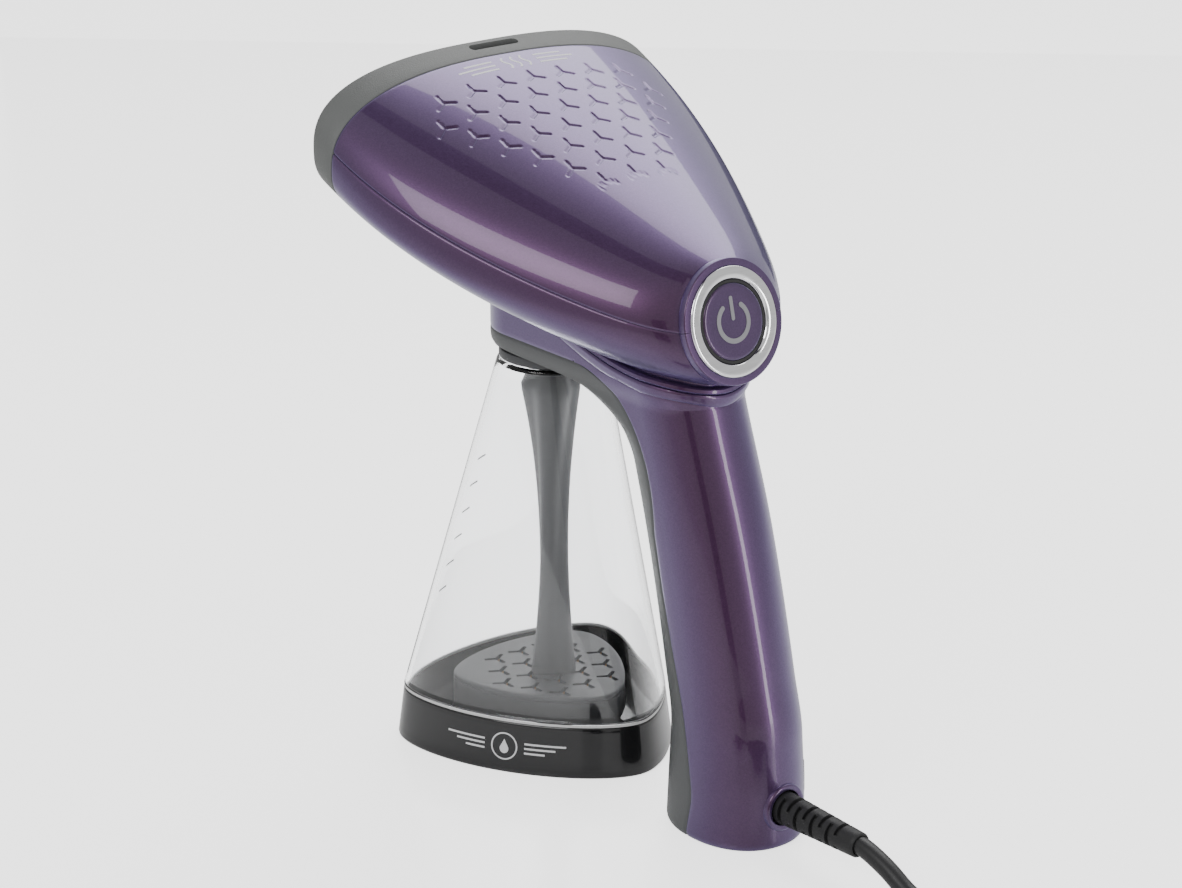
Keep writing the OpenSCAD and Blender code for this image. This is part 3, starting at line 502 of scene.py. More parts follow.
MATERIALS = {
    # the second colour of each lacquer is a painted sheen: the lighter lavender it turns to at glancing
    # angles
    "shell_paint": violet_lacquer("violet lacquer", srgb(78, 46, 80), srgb(122, 112, 168), 0.14),
    "button_paint": violet_lacquer("violet button lacquer", srgb(72, 46, 76), srgb(110, 100, 150), 0.16),
    "bezel_grey": moulded("light grey bezel", srgb(100, 102, 101), 0.5, 0.2, 0.05, 1900.0, 0.00012),
    "trim_grey": moulded("mid grey trim", srgb(84, 86, 87), 0.42, 0.15, 0.03, 1900.0, 0.00006),
    "plate_steel": brushed("brushed steam plate", (0.62, 0.62, 0.63, 1), 0.25),
    "chamber_cast": moulded("cast aluminium", (0.5, 0.5, 0.52, 1), 0.5, 0.2, 0.05, 700.0, 0.0001, 0, 1.0),
    "steel": brushed("plain steel", (0.55, 0.55, 0.56, 1), 0.32),
    "chrome_ring": brushed("bright chrome", (0.93, 0.93, 0.94, 1), 0.06, 0.000001),
    "icon_silver": moulded("silver grey print", srgb(150, 149, 154), 0.32, 0.1, 0.02, 1800.0, 0.00001,
                           0.2, 0.4),
    "inner_black": moulded("black inner plastic", (0.012, 0.012, 0.013, 1), 0.5, 0.15, 0.05, 1500.0),
    "board_green": moulded("solder resist", (0.01, 0.10, 0.04, 1), 0.3, 0.1, 0.08, 600.0),
    "clear_tank": clear_plastic(),
    "base_black": moulded("gloss black base", (0.006, 0.006, 0.007, 1), 0.12, 0.04, 0.02, 400.0, 0.000004,
                          0.6),
    "stem_grey": moulded("dark grey stem", srgb(74, 75, 77), 0.5, 0.15, 0.03, 1300.0, 0.00005),
    # white seal, whose light ring also paints in the highlight along the base's top edge
    "seal_white": moulded("white seal and painted edge highlight", srgb(222, 222, 222), 0.45, 0.1, 0.02, 900.0, 0.00001),
    "seal_red": moulded("red silicone", (0.35, 0.03, 0.02, 1), 0.5, 0.1, 0.04, 900.0),
    "soft_black": moulded("black rubber", (0.014, 0.014, 0.015, 1), 0.55, 0.18, 0.05, 1100.0, 0.00005),
    "cord_black": moulded("black lead sheath", (0.016, 0.016, 0.017, 1), 0.42, 0.12, 0.04, 1400.0, 0.00003),
    "hose_clear": moulded("milky silicone hose", srgb(225, 224, 214), 0.4, 0.1, 0.03, 900.0),
    "pump_white": moulded("natural nylon", srgb(226, 224, 214), 0.5, 0.1, 0.03, 900.0),
    "copper": brushed("enamelled winding", (0.55, 0.22, 0.09, 1), 0.35, 0.0002),
    "brass": brushed("brass nipple", (0.62, 0.45, 0.17, 1), 0.3),
    "ceramic": moulded("unglazed ceramic", srgb(214, 206, 186), 0.7, 0.15, 0.04, 1500.0, 0.00008),
    "granules": moulded("amber resin beads", srgb(190, 140, 60), 0.35, 0.1, 0.2, 500.0, 0.0006, 0.3),
}
SLOT_OF = {part["node"]: part["material_slot"] for part in frame["record"]["subparts"]}


def dress(obj, slot):
    obj.data.materials.clear()
    obj.data.materials.append(MATERIALS[slot])


def place(obj, body, slot, *stands_for):
    """Material, body and slot of a piece, and the CAD nodes that it stands for."""
    dress(obj, slot)
    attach(obj, body)
    if stands_for:
        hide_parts(*stands_for)
    return obj


for node_name, node in frame["nodes"].items():
    for material_slot in node.material_slots:
        material_slot.material = MATERIALS[SLOT_OF[node_name]]

# ---------------------------------------------------------------- head

BOSS_R, RING_R, BOSS_DEPTH = 22.2, 19.4, 3.0
BUTTON_Y, BUTTON_Z, BUTTON_TILT = 101.0, 189.0, 13.6
HEAD_HALF_W, HEAD_FRONT, HEAD_Z = 78.5, 38.0, 235.0
HEAD_RISE, HEAD_DROP, BEZEL_DEPTH, HEAD_WALL, BEZEL_WALL = 29.5, 25.5, 12.0, 2.6, 4.0
HEAD_REAR = BUTTON_Y - BOSS_DEPTH * math.cos(math.radians(BUTTON_TILT))
REAR_Z = BUTTON_Z - BOSS_DEPTH * math.sin(math.radians(BUTTON_TILT))
HEAD_LENGTH = HEAD_FRONT + HEAD_REAR
BEZEL_END = BEZEL_DEPTH / HEAD_LENGTH


def head_w(t):
    return (bezier([HEAD_HALF_W, HEAD_HALF_W + 4.5, BOSS_R + 34, BOSS_R + 6.6], t)
            - 6.6 * np.exp(-(1 - t) / 0.05))


def head_mid(t):
    return ((HEAD_Z * (1 - t) + (REAR_Z + 5.5) * t) * (1 - t) + ((REAR_Z + 5.5) * (1 - t) + REAR_Z * t) * t)


def head_up(t):
    return bezier([HEAD_RISE, HEAD_RISE + 15, BOSS_R + 19, BOSS_R], t)


def head_down(t):
    return bezier([HEAD_DROP, HEAD_DROP - 8.5, BOSS_R + 12, BOSS_R], t)


def up_power(t):
    return 2.15 + 0.5 * np.exp(-t / 0.2) - 0.1 * np.abs(t) ** 8


def down_power(t):
    return 1.7 + 0.9 * np.exp(-t / 0.2) + 0.35 * np.abs(t) ** 8


def seam_angle(t):
    rise = (6.8 * (1 - t) + 14.8 * t) * (1 - t) + 14.8 * (1 - t) * t
    return np.degrees(np.arcsin((rise / head_up(t)) ** (up_power(t) / 2)))


def head_points(t, angles, inset):
    """Points of one section of the head, in mm, inset from its surface."""
    a = np.radians(angles)
    up = np.sin(a) >= 0
    n = np.where(up, up_power(t), down_power(t))
    v = (np.where(up, head_up(t), head_down(t)) - inset) * bent(np.sin(a), 2 / n)
    lean = math.radians(BUTTON_TILT * t)
    x = (head_w(t) - inset) * bent(np.cos(a), 2 / n)
    return np.stack([x, -HEAD_FRONT + HEAD_LENGTH * t - v * np.sin(lean), head_mid(t) + v * np.cos(lean)], -1)


def even_angles(t, start, stop, places):
    """Angles whose points lie at the given shares of the arc's length, and that length in mm."""
    dense = np.linspace(start, stop, 1500)
    p = head_points(t, dense, 0.0)
    length = np.concatenate([[0], np.cumsum(np.linalg.norm(np.diff(p, axis=0), axis=1))])
    return np.interp(places * length[-1], length, dense), length[-1]


def edge_places(count, length, steps=(0.0, 0.2, 0.45, 0.8, 1.3)):
    """Even shares of an arc, with extra ones close to both its ends."""
    near = np.array(steps) / length
    return np.concatenate([near, np.linspace(2.2 / length, 1 - 2.2 / length, count), 1 - near[::-1]])


def spoke_depth(x, y):
    """Depth of the three-armed grooves pressed in the head's top, at points in mm."""
    depth = np.zeros_like(x)
    pitch, row_pitch = 13.6, 9.55
    for row in range(-2, 5):
        centre_y = 9.3 + row * row_pitch
        reach = min(3.5, 3.0 - 0.5 * row)
        for k in range(-9, 10):
            centre_x = (k + (0.5 if row % 2 else 0.0)) * pitch
            if abs(centre_x) > reach * pitch + 0.1:
                continue
            dx, dy = x - centre_x, (y - centre_y) * 1.12
            for arm, size in ((-90, 4.1), (30, 4.1), (150, 4.4)):
                ca, sa = math.cos(math.radians(arm)), math.sin(math.radians(arm))
                along = np.clip(dx * ca + dy * sa, 0, size)
                away = np.hypot(dx - along * ca, dy - along * sa)
                depth = np.maximum(depth, 0.45 * smoothstep((0.75 - away) / 0.45))
    return depth


def head_rows(fine):
    rows = list(BEZEL_END + np.array([0.0, 0.2, 0.45, 0.8, 1.3]) / HEAD_LENGTH)
    if fine:
        rows += list((np.arange(-24.0, 53.0, 0.42) + HEAD_FRONT) / HEAD_LENGTH)
        rows += list(np.linspace((54 + HEAD_FRONT) / HEAD_LENGTH, 1, 40))
    else:
        rows += list(np.linspace(BEZEL_END + 2 / HEAD_LENGTH, 1, 90))
    return np.array(rows)


def head_shell(name, upper):
    """Upper or lower shell: outer skin with softened edges, inner skin, and its half of the boss."""
    outer, inner = [], []
    cols = 400 if upper else 170
    for t in head_rows(upper):
        s = float(seam_angle(t))
        start, stop = (s, 180 - s) if upper else (180 - s, 360 + s)
        _, length = even_angles(t, start, stop, np.array([0.0]))
        places = edge_places(cols, length)
        if not upper:
            places[0], places[-1] = 0.12 / length, 1 - 0.12 / length
        if not upper and s > 1:
            # keep a row of points on the widest line, where the lower flank folds under
            for fold in (180.0, 360.0):
                dense, _ = even_angles(t, start, stop, places)
                places[np.argmin(np.abs(dense - fold))] = np.nan
            share = np.linspace(start, stop, 1500)
            p = head_points(t, share, 0.0)
            run = np.concatenate([[0], np.cumsum(np.linalg.norm(np.diff(p, axis=0), axis=1))]) / length
            holes = np.where(np.isnan(places))[0]
            places[holes[0]], places[holes[-1]] = np.interp([180.0, 360.0], share, run)
        angles, _ = even_angles(t, start, stop, places)
        edge = np.minimum(places, 1 - places) * length
        front = (t - BEZEL_END) * HEAD_LENGTH
        soft = 0.45 * np.exp(-(edge / 0.4) ** 2) + 0.4 * math.exp(-(front / 0.5) ** 2)
        skin = head_points(t, angles, soft)
        if upper:
            skin = head_points(t, angles, soft + spoke_depth(skin[:, 0], skin[:, 1]))
        outer.append(skin)
        inner.append(head_points(t, angles, HEAD_WALL))
    outer, inner = np.array(outer), np.array(inner)
    shell = closed_shell(name, outer, inner, None if upper else ~over_neck(outer))
    crisp(shell, 40)
    r0, r1, rise = RING_R + 0.1, BOSS_R, 0.5
    profile = [(r0, -3.5), (r1, -3.5), (r1, -rise)]
    profile += [(r1 - rise + rise * math.cos(a), -rise + rise * math.sin(a)) for a in (0.4, 0.8, 1.2, 1.57)]
    profile += [(r0 + 0.25, 0.0), (r0, -0.25)]
    boss = lathe(name + "_boss", profile, BUTTON_FRAME, 90, 180.2 if upper else 0.2, 179.6)
    crisp(boss, 40)
    return join(name, [shell, boss])


# the button's own frame: +Z out of its face, +Y down the face
BUTTON_FRAME = (Matrix.Translation(Vector((0, BUTTON_Y, BUTTON_Z)) * MM)
                @ Matrix.Rotation(math.radians(BUTTON_TILT - 90), 4, "X"))


def over_neck(points):
    """Cells of the head's underside that open into the neck, for hoses and wires."""
    middle = (points[:-1, :-1] + points[1:, 1:]) / 2
    away = np.hypot(middle[..., 0], np.maximum(0, np.abs(middle[..., 1] - 35.5) - 34.5))
    return (away < 19) & (middle[..., 2] < 203.5)


def make_bezel():
    """Front bezel: a rounded band swept round the rim, with the slot in its top."""
    t_end = BEZEL_END
    lip = 1.4 / HEAD_LENGTH
    profile = [(0.35, t_end), (0.1, t_end - 0.2 / HEAD_LENGTH), (0.0, t_end - 0.5 / HEAD_LENGTH),
               (0.0, t_end * 0.66), (0.0, t_end * 0.33), (0.0, lip)]
    profile += [(1.3 - 1.3 * math.cos(a), lip - lip * math.sin(a)) for a in np.linspace(0.25, 1.57, 7)]
    profile += [(2.0, 0.0), (2.9, 0.0)]
    profile += [(3.0 + 1.0 * math.sin(a), lip * 0.8 - lip * 0.8 * math.cos(a))
                for a in np.linspace(0.2, 1.57, 5)]
    profile += [(BEZEL_WALL, t_end * 0.5), (BEZEL_WALL, t_end)]
    angles = np.linspace(0, 360, 241)[:-1]
    points = np.array([head_points(t, angles, inset) for inset, t in profile])
    bezel = grid_object("front_bezel_piece", points, close_cols=True, close_rows=True)
    half, r = 11 - 1.8, 1.8
    outline = [(half + r * math.cos(a), r * math.sin(a)) for a in np.linspace(-1.57, 1.57, 12)]
    outline += [(-half + r * math.cos(a), r * math.sin(a)) for a in np.linspace(1.57, 4.71, 12)]
    cut(bezel, prism("slot_cutter", [(x, y - 33.2) for x, y in outline], 240, 280))
    crisp(bezel, 40)
    return bezel


place(head_shell("upper_shell", True), "steamer", "shell_paint", "head_upper_shell")
place(head_shell("lower_shell", False), "steamer", "shell_paint", "head_lower_shell")
place(make_bezel(), "steamer", "bezel_grey", "front_bezel")

# ---------------------------------------------------------------- grip, neck and trim

NECK_R, NECK_Z, TRIM_T, GRIP_WALL, FOOT_Y = 22.0, 157.0, 6.5, 2.4, 106.0
TRIM_TOP = NECK_Z + TRIM_T
# knots of (height, value): the section's middle, half depth, half width, and reach forwards of the neck
MID_KNOTS = [(0, 106.0), (20, 106.2), (38, 106.0), (60, 101.8), (110, 89.8), (NECK_Z, 74.5),
             (NECK_Z + 9, 71.6)]
DEPTH_KNOTS = [(0, 26.5), (20, 25.9), (38, 24.7), (60, 24.2), (110, 23.0), (NECK_Z, 22.2),
               (NECK_Z + 40, 22.2)]
WIDTH_KNOTS = [(0, 22.3), (38, 21.25), (60, 20.8), (110, 20.9), (NECK_Z - 2, 20.6), (NECK_Z + 5, 22.0),
               (NECK_Z + 47, 22.0)]
REACH_KNOTS = [(0, 0), (NECK_Z - 24, 0), (NECK_Z - 15, 2.5), (NECK_Z - 10, 7), (NECK_Z - 6, 14),
               (NECK_Z - 3, 22), (NECK_Z - 1, 33.5), (NECK_Z - 0.5, 47), (NECK_Z - 0.2, 62), (NECK_Z, 72.8)]


def foot_round(z):
    return np.where(z < 3, 1.6 * (1 - np.sqrt(np.clip(1 - (1 - z / 3) ** 2, 0, 1))), 0)


def grip_half(z, steps=500):
    """Right half of the level section at height z, from its rear middle to its front middle."""
    w = float(pchip(z, WIDTH_KNOTS) - foot_round(z))
    d = float(pchip(min(z, NECK_Z), DEPTH_KNOTS) - foot_round(z))
    rear = float(pchip(min(z, NECK_Z), MID_KNOTS)) + d
    if z < NECK_Z:
        front = rear - 2 * d - float(pchip(z, REACH_KNOTS))
    else:
        front = -min(NECK_R, NECK_R - 1.6 + (z - NECK_Z) * 0.8)
    nose = min(d, max(w, d - 1), (rear - front) / 2)
    a = np.radians(np.linspace(90, 0, steps))
    back = np.stack([w * bent(np.cos(a), 0.92), rear - d + d * bent(np.sin(a), 0.92)], -1)
    a = np.radians(np.linspace(0, -90, steps))
    fore = np.stack([w * bent(np.cos(a), 0.92), front + nose + nose * bent(np.sin(a), 0.92)], -1)
    p = np.concatenate([back, fore])
    run = np.concatenate([[0], np.cumsum(np.linalg.norm(np.diff(p, axis=0), axis=1))])
    return p, run


def parting_y(z):
    """How far back the trim reaches at height z."""
    if z >= TRIM_TOP - 0.001:
        return FOOT_Y - 66
    turn = TRIM_TOP - 53
    if z >= turn:
        return FOOT_Y - 66 + 43 * math.sqrt(max(0, 1 - ((z - turn) / 53) ** 2))
    return float(pchip(z, [(-5, FOOT_Y - 3), (6, FOOT_Y - 1.5), (16, FOOT_Y), (26, FOOT_Y - 1.5),
                           (46, FOOT_Y - 6), (70, FOOT_Y - 13.2), (90, FOOT_Y - 18.6), (turn, FOOT_Y - 23)]))


def head_underside(x, y):
    """Height of the head's underside over a point of the plan."""
    t, g = (y + HEAD_FRONT) / HEAD_LENGTH, 1.0
    for _ in range(30):
        t = min(max(t, 0), 1)
        n = float(down_power(t))
        g = max(0.0, 1 - min(1.0, abs(x) / float(head_w(t))) ** n) ** (1 / n)
        drop = float(head_down(t)) * g
        t = (y - drop * math.sin(math.radians(BUTTON_TILT * t)) + HEAD_FRONT) / HEAD_LENGTH
    t = min(max(t, 0), 1)
    return float(head_mid(t)) - float(head_down(t)) * g * math.cos(math.radians(BUTTON_TILT * t))


REAR_COLS, FRONT_COLS = 60, 90


def grip_column_point(z, col):
    p, run = grip_half(z)
    y_part = parting_y(z)
    index = max(1, int(np.argmax(p[:, 1] <= y_part))) if p[-1, 1] < y_part else len(run) - 1
    y0, y1 = p[index - 1, 1], p[index, 1]
    at = run[index - 1] + (run[index] - run[index - 1]) * ((y0 - y_part) / (y0 - y1) if y0 != y1 else 0)
    if col <= REAR_COLS:
        near = [1.1, 0.6, 0.25, 0.0]
        k = col - (REAR_COLS - 3)
        s = at - near[k] if k >= 0 else (at - 1.8) * col / (REAR_COLS - 4)
    else:
        near = [0.0, 0.25, 0.6, 1.1]
        k = col - REAR_COLS
        s = at + near[k] if k <= 3 else at + 1.8 + (run[-1] - at - 1.8) * (k - 4) / (FRONT_COLS - 4)
    x, y = np.interp(s, run, p[:, 0]), np.interp(s, run, p[:, 1])
    x1, y1 = np.interp(s + 0.05, run, p[:, 0]), np.interp(s + 0.05, run, p[:, 1])
    x0, y0 = np.interp(s - 0.05, run, p[:, 0]), np.interp(s - 0.05, run, p[:, 1])
    tangent = np.array([x1 - x0, y1 - y0])
    tangent /= max(1e-9, np.linalg.norm(tangent))
    return np.array([x, y, z]), np.array([-tangent[1], tangent[0], 0.0]), s - at


def lip_push(below, y):
    """Stepped lip of the neck under the head, by depth below the head's underside."""
    full = [(0, -1.0), (1.0, -1.0), (1.25, 0.9), (1.9, 1.7), (3.0, 1.9), (3.7, 1.3), (4.0, 0.5), (4.3, 1.2),
            (5.0, 1.5), (7.6, 1.1), (8.6, 0.6), (8.9, -0.1), (9.6, 0.0), (60, 0.0)]
    share = float(smoothstep(np.array((y + 24) / 60)))
    return float(np.interp(below, [k[0] for k in full], [k[1] for k in full])) * share


def grip_grid():
    """Outer surface of grip and neck: rows upwards, columns round one half from rear to front."""
    cols = REAR_COLS + FRONT_COLS + 1
    low = list(np.concatenate([[0, 0.3, 0.8, 1.5, 2.2, 3.0], np.linspace(5, 128, 62),
                               np.linspace(130, 150, 16)]))
    low += list(np.linspace(151, 156, 9)) + [156.2, 156.4, 156.6, 156.8, 156.9]
    middle = np.array([0, 0.06, 0.12, 0.2, 0.3, 0.45, 0.6, 0.75, 0.85, 0.93, 0.97, 0.99, 1.0])
    lip = np.array([10.2, 9.6, 9.2, 8.9, 8.6, 8.2, 7.6, 6.6, 5.6, 5.0, 4.6, 4.3, 4.0, 3.7, 3.4, 3.0, 2.5,
                    1.9, 1.55, 1.25, 1.1, 1.0, 0.6, 0.0])
    above = np.array([0.02, 0.05, 0.12, 0.25, 0.4, 0.6, 0.8])
    rows = []
    tops = np.zeros(cols)
    for col in range(cols):
        z = 170.0
        for _ in range(6):
            p, _, _ = grip_column_point(z, col)
            z = 0.5 * z + 0.5 * head_underside(p[0], p[1])
        tops[col] = z
    turn = np.minimum(TRIM_TOP, tops - 10.4)
    start = np.minimum(low[-1], tops - 10.6)
    levels = [np.where(z > 150, 150 + (z - 150) * (start - 150) / (low[-1] - 150), z) for z in low]
    # the part between the neck's underside and the parting height, or the lip where that is lower
    levels += [start + (np.maximum(turn, start) - start) * m for m in middle[1:]]
    part_row = len(levels) - 1
    base = np.maximum(turn, start)
    levels += [base + (tops - 10.3 - base) * a for a in above]
    levels += [tops - b for b in lip]
    grid, normals, offsets = [], [], []
    for level in levels:
        line = [grip_column_point(float(level[c]), c) for c in range(cols)]
        grid.append([q[0] for q in line])
        normals.append([q[1] for q in line])
        offsets.append([q[2] for q in line])
    return np.array(grid), np.array(normals), np.array(offsets), np.array(levels), tops, part_row


def make_grip():
    grid, normals, offsets, levels, tops, part_row = grip_grid()
    rows, cols = grid.shape[:2]
    for j in range(rows):
        for c in range(cols):
            shift = lip_push(tops[c] - levels[j, c], grid[j, c, 1])
            if levels[j, c] <= TRIM_TOP + 0.5 and tops[c] - levels[j, c] > 10:
                shift -= 0.38 * math.exp(-(offsets[j, c] / 0.5) ** 2)
            if c >= REAR_COLS:
                shift -= 0.3 * math.exp(-((levels[j, c] - TRIM_TOP) / 0.4) ** 2)
            n = normals[j, c]
            sign = 1.0 if n[0] * grid[j, c, 0] + n[1] * (grid[j, c, 1] - grid[j, cols // 2, 1]) >= 0 else -1.0
            grid[j, c] += n * sign * shift
            if c in (0, cols - 1):
                grid[j, c, 0] = 0.0
    # closed underside of the foot
    centre = np.array([0.0, parting_y(0), 0.0])
    feet = [centre + (grid[0] - centre) * k for k in (0, 0.35, 0.7)]
    grid = np.concatenate([np.array(feet), grid])
    part_row += 3
    mirrored = grid * np.array([-1, 1, 1])
    full = np.concatenate([grid, mirrored[:, -2:0:-1]], axis=1)
    total = full.shape[1]

    def is_front(i):
        return REAR_COLS <= i < total - REAR_COLS

    shell_mask = [[not is_front(i) or j >= part_row for i in range(total)] for j in range(full.shape[0] - 1)]
    trim_mask = [[is_front(i) and j < part_row for i in range(total)] for j in range(full.shape[0] - 1)]
    shell = grid_object("grip_shell", full, close_cols=True, mask=shell_mask)
    trim = grid_object("grip_trim", full, close_cols=True, mask=trim_mask)
    for obj in (shell, trim):
        thick = obj.modifiers.new("wall", "SOLIDIFY")
        thick.thickness = GRIP_WALL * MM
        thick.offset = -1
        apply(obj)
    hole = lathe("dock_cutter", [(0.001, 140), (17.3, 140), (17.3, 162), (0.001, 162)],
                 Matrix.Identity(4), 96)
    cut(trim, hole)
    exit_hole = lathe("exit_cutter", [(0.001, -12), (6.7, -12), (6.7, 12), (0.001, 12)],
                      Matrix.Translation((0, 0.131, 0.0155)) @ Matrix.Rotation(math.radians(-90), 4, "X"), 64)
    cut(shell, exit_hole)
    window = [(-23.4, 116.95), (-12.1, 116.95), (-12.1, 124.05), (-23.4, 124.05)]
    cut(shell, prism("plate_cutter", window, 13.95, 26.05))
    crisp(shell, 38)
    crisp(trim, 38)
    return shell, trim


grip_piece, trim_piece = make_grip()
place(grip_piece, "steamer", "shell_paint", "handle_shell")
place(trim_piece, "steamer", "trim_grey", "front_trim")

# cord collar on the back of the foot, and the strain relief that sits in it
ALONG_Y = Matrix.Translation((0, 0.119, 0.0155)) @ Matrix.Rotation(math.radians(-90), 4, "X")
collar = lathe("cord_collar", [(6.62, 8.6), (8.9, 8.6), (8.9, 13.1), (8.7, 13.6), (8.2, 13.9), (7.2, 13.9),
                               (6.75, 13.7), (6.62, 13.3)], ALONG_Y, 96)
crisp(collar, 40)
place(collar, "steamer", "shell_paint")


def make_relief():
    """Tapering relief: flange, then ribs with bridges that alternate from side to side."""
    levels, gaps = [], []
    ribs_from, ribs_to, pitch = 15.5, 50.0, 3.9
    levels += [0.0, 0.4, 5.0, 10.0, 14.8, 15.3]
    gaps += [0] * 6
    k = 0
    h = ribs_from
    while h + pitch < ribs_to:
        levels += [h, h + 0.12, h + 0.9, h + 1.68, h + 1.8]
        gaps += [0, k + 1, k + 1, k + 1, 0]
        h += pitch
        k += 1
    levels += [50.2, 51.2, 51.8, 52.0]
    gaps += [0, 0, 0, 0]
    steps = 72
    rows = []
    for h, gap in zip(levels, gaps):
        row = []
        for i in range(steps):
            a = 360.0 * i / steps
            r = 6.5 - 1.9 * h / 52
            if h > 51:
                r -= 0.5 * (h - 51) ** 2
            if h < 0.3:
                r -= 0.3
            if gap:
                turned = (a + (90 if gap % 2 else 0)) % 180
                bridge = min(turned, 180 - turned)
                r -= (1.55 - 0.01 * h) * float(smoothstep(np.array((bridge - 24) / 5)))
            row.append((r * math.cos(math.radians(a)), r * math.sin(math.radians(a)), h))
        rows.append(row)
    for r, h in ((3.7, 52.0), (3.6, 51.5), (3.6, 0.5), (3.8, 0.0)):
        rows.append([(r * math.cos(2 * math.pi * i / steps), r * math.sin(2 * math.pi * i / steps), h)
                     for i in range(steps)])
    relief = grid_object("relief", np.array(rows), close_cols=True, close_rows=True)
    relief.data.transform(ALONG_Y)
    crisp(relief, 32)
    return relief


make_lead(place(make_relief(), "steamer", "soft_black", "strain_relief"))

# ---------------------------------------------------------------- power button

ring = lathe("bright_ring", [(14.72, -1.85), (19.38, -1.85), (19.38, 0.05), (19.25, 0.3), (18.95, 0.48),
                             (18.4, 0.57), (17.2, 0.6), (15.9, 0.52), (15.3, 0.3), (14.9, -0.15),
                             (14.72, -0.6)], BUTTON_FRAME, 160)
crisp(ring, 60)
place(ring, "steamer", "chrome_ring", "button_ring")
cap = lathe("button_cap", [(0, -5.9), (2.5, -5.9), (2.5, -3), (11.8, -3), (11.8, -5.9), (13.5, -5.9),
                           (13.5, -0.75), (13.42, -0.45), (13.2, -0.2), (12.8, -0.06), (12.2, 0.0),
                           (9, -0.12), (5, -0.22), (0, -0.25)], BUTTON_FRAME, 144)
crisp(cap, 40)
place(cap, "button", "button_paint", "power_button")


def make_mark():
    """Open ring with a bar in its gap, rounded at its ends, just proud of the button's face."""
    outer, width = 7.6, 1.75
    mid_r, half = outer - width / 2, width / 2
    gap = 38.0

    def on_circle(r, degrees, middle=(0.0, 0.0)):
        a = math.radians(degrees)
        return (middle[0] + r * math.cos(a), middle[1] + r * math.sin(a))

    outline = [on_circle(mid_r + half, a) for a in np.linspace(-90 + gap, 270 - gap, 72)]
    outline += [on_circle(half, 270 - gap + b, on_circle(mid_r, 270 - gap))
                for b in np.linspace(0, 180, 9)[1:-1]]
    outline += [on_circle(mid_r - half, a) for a in np.linspace(270 - gap, -90 + gap, 72)]
    outline += [on_circle(half, gap - 90 + b, on_circle(mid_r, gap - 90))
                for b in np.linspace(180, 360, 9)[1:-1]]
    arc = prism("mark_arc", outline, -0.3, 0.03, BUTTON_FRAME)
    half = 0.75
    bar = [(half * math.cos(a), -8.3 + half * math.sin(a)) for a in np.linspace(math.pi, 2 * math.pi, 10)]
    bar += [(half * math.cos(a), -1.2 + half * math.sin(a)) for a in np.linspace(0, math.pi, 10)]
    stroke = prism("mark_bar", bar, -0.3, 0.03, BUTTON_FRAME)
    return join("power_mark", [arc, stroke])


place(make_mark(), "button", "icon_silver", "button_icon")

# ---------------------------------------------------------------- tank

TANK_Z0, TANK_Z1, TANK_FOOT_R, TANK_TOP_R, TANK_CORNER, TANK_MID = 21.0, 152.0, 50.3, 20.0, 5.8, -2.8


def lobe(r, corner, mid, inset, z, angles):
    """Rounded three-cornered outline, in mm."""
    a = np.radians(angles)
    h = r - inset + corner * np.cos(3 * a) - 0.043 * corner * np.cos(6 * a)
    s = -3 * corner * np.sin(3 * a) + 0.258 * corner * np.sin(6 * a)
    return np.stack([h * np.sin(a) + s * np.cos(a), mid + h * np.cos(a) - s * np.sin(a),
                     np.full_like(a, z)], -1)


ROUND = np.linspace(0, 360, 181)[:-1]


def tank_ring(z, inset, angles=ROUND):
    t = (z - TANK_Z0) / (TANK_Z1 - TANK_Z0)
    radius = TANK_FOOT_R + (TANK_TOP_R - TANK_FOOT_R) * t
    return lobe(radius, TANK_CORNER * (1 - t), TANK_MID * (1 - t), inset, z, angles)


def make_tank():
    """Clear tank: outer skin, rounded shoulder, spigot and inner skin in one closed surface."""
    rows = [tank_ring(21.0, 0.25), tank_ring(21.25, 0.0)]
    rows += [tank_ring(z, 0.0) for z in np.linspace(24, 150.2, 34)]
    rows += [tank_ring(150.2 + 1.7 * math.sin(a), 1.7 - 1.7 * math.cos(a)) for a in (0.4, 0.8, 1.15, 1.5)]
    spigot = [(17.1, 152.0), (16.85, 152.2), (16.8, 152.5), (16.8, 164.6), (16.5, 165.0), (15.6, 165.0),
              (15.3, 164.6), (15.3, 151.2), (15.6, 150.3), (16.4, 150.0), (17.0, 149.9)]
    rows += [lobe(r, 0, 0, 0, z, ROUND) for r, z in spigot]
    rows += [tank_ring(z, 2.0) for z in np.linspace(149.4, 23, 32)]
    rows += [tank_ring(21.3, 2.0), tank_ring(21.0, 1.75)]
    tank = grid_object("clear_tank", np.array(rows), close_cols=True, close_rows=True)
    crisp(tank, 40)
    return tank


place(make_tank(), "tank", "clear_tank", "tank_body")


def base_ring(z, inset):
    return lobe(52.9 + (TANK_FOOT_R - 52.9) * z / 20, TANK_CORNER, TANK_MID, inset, z, ROUND)


def shrink(ring, share):
    """The same ring drawn in towards the tank's middle, at its own height."""
    centre = np.array([0.0, TANK_MID, 0.0])
    out = centre + (ring - centre) * share
    out[:, 2] = ring[:, 2]
    return out


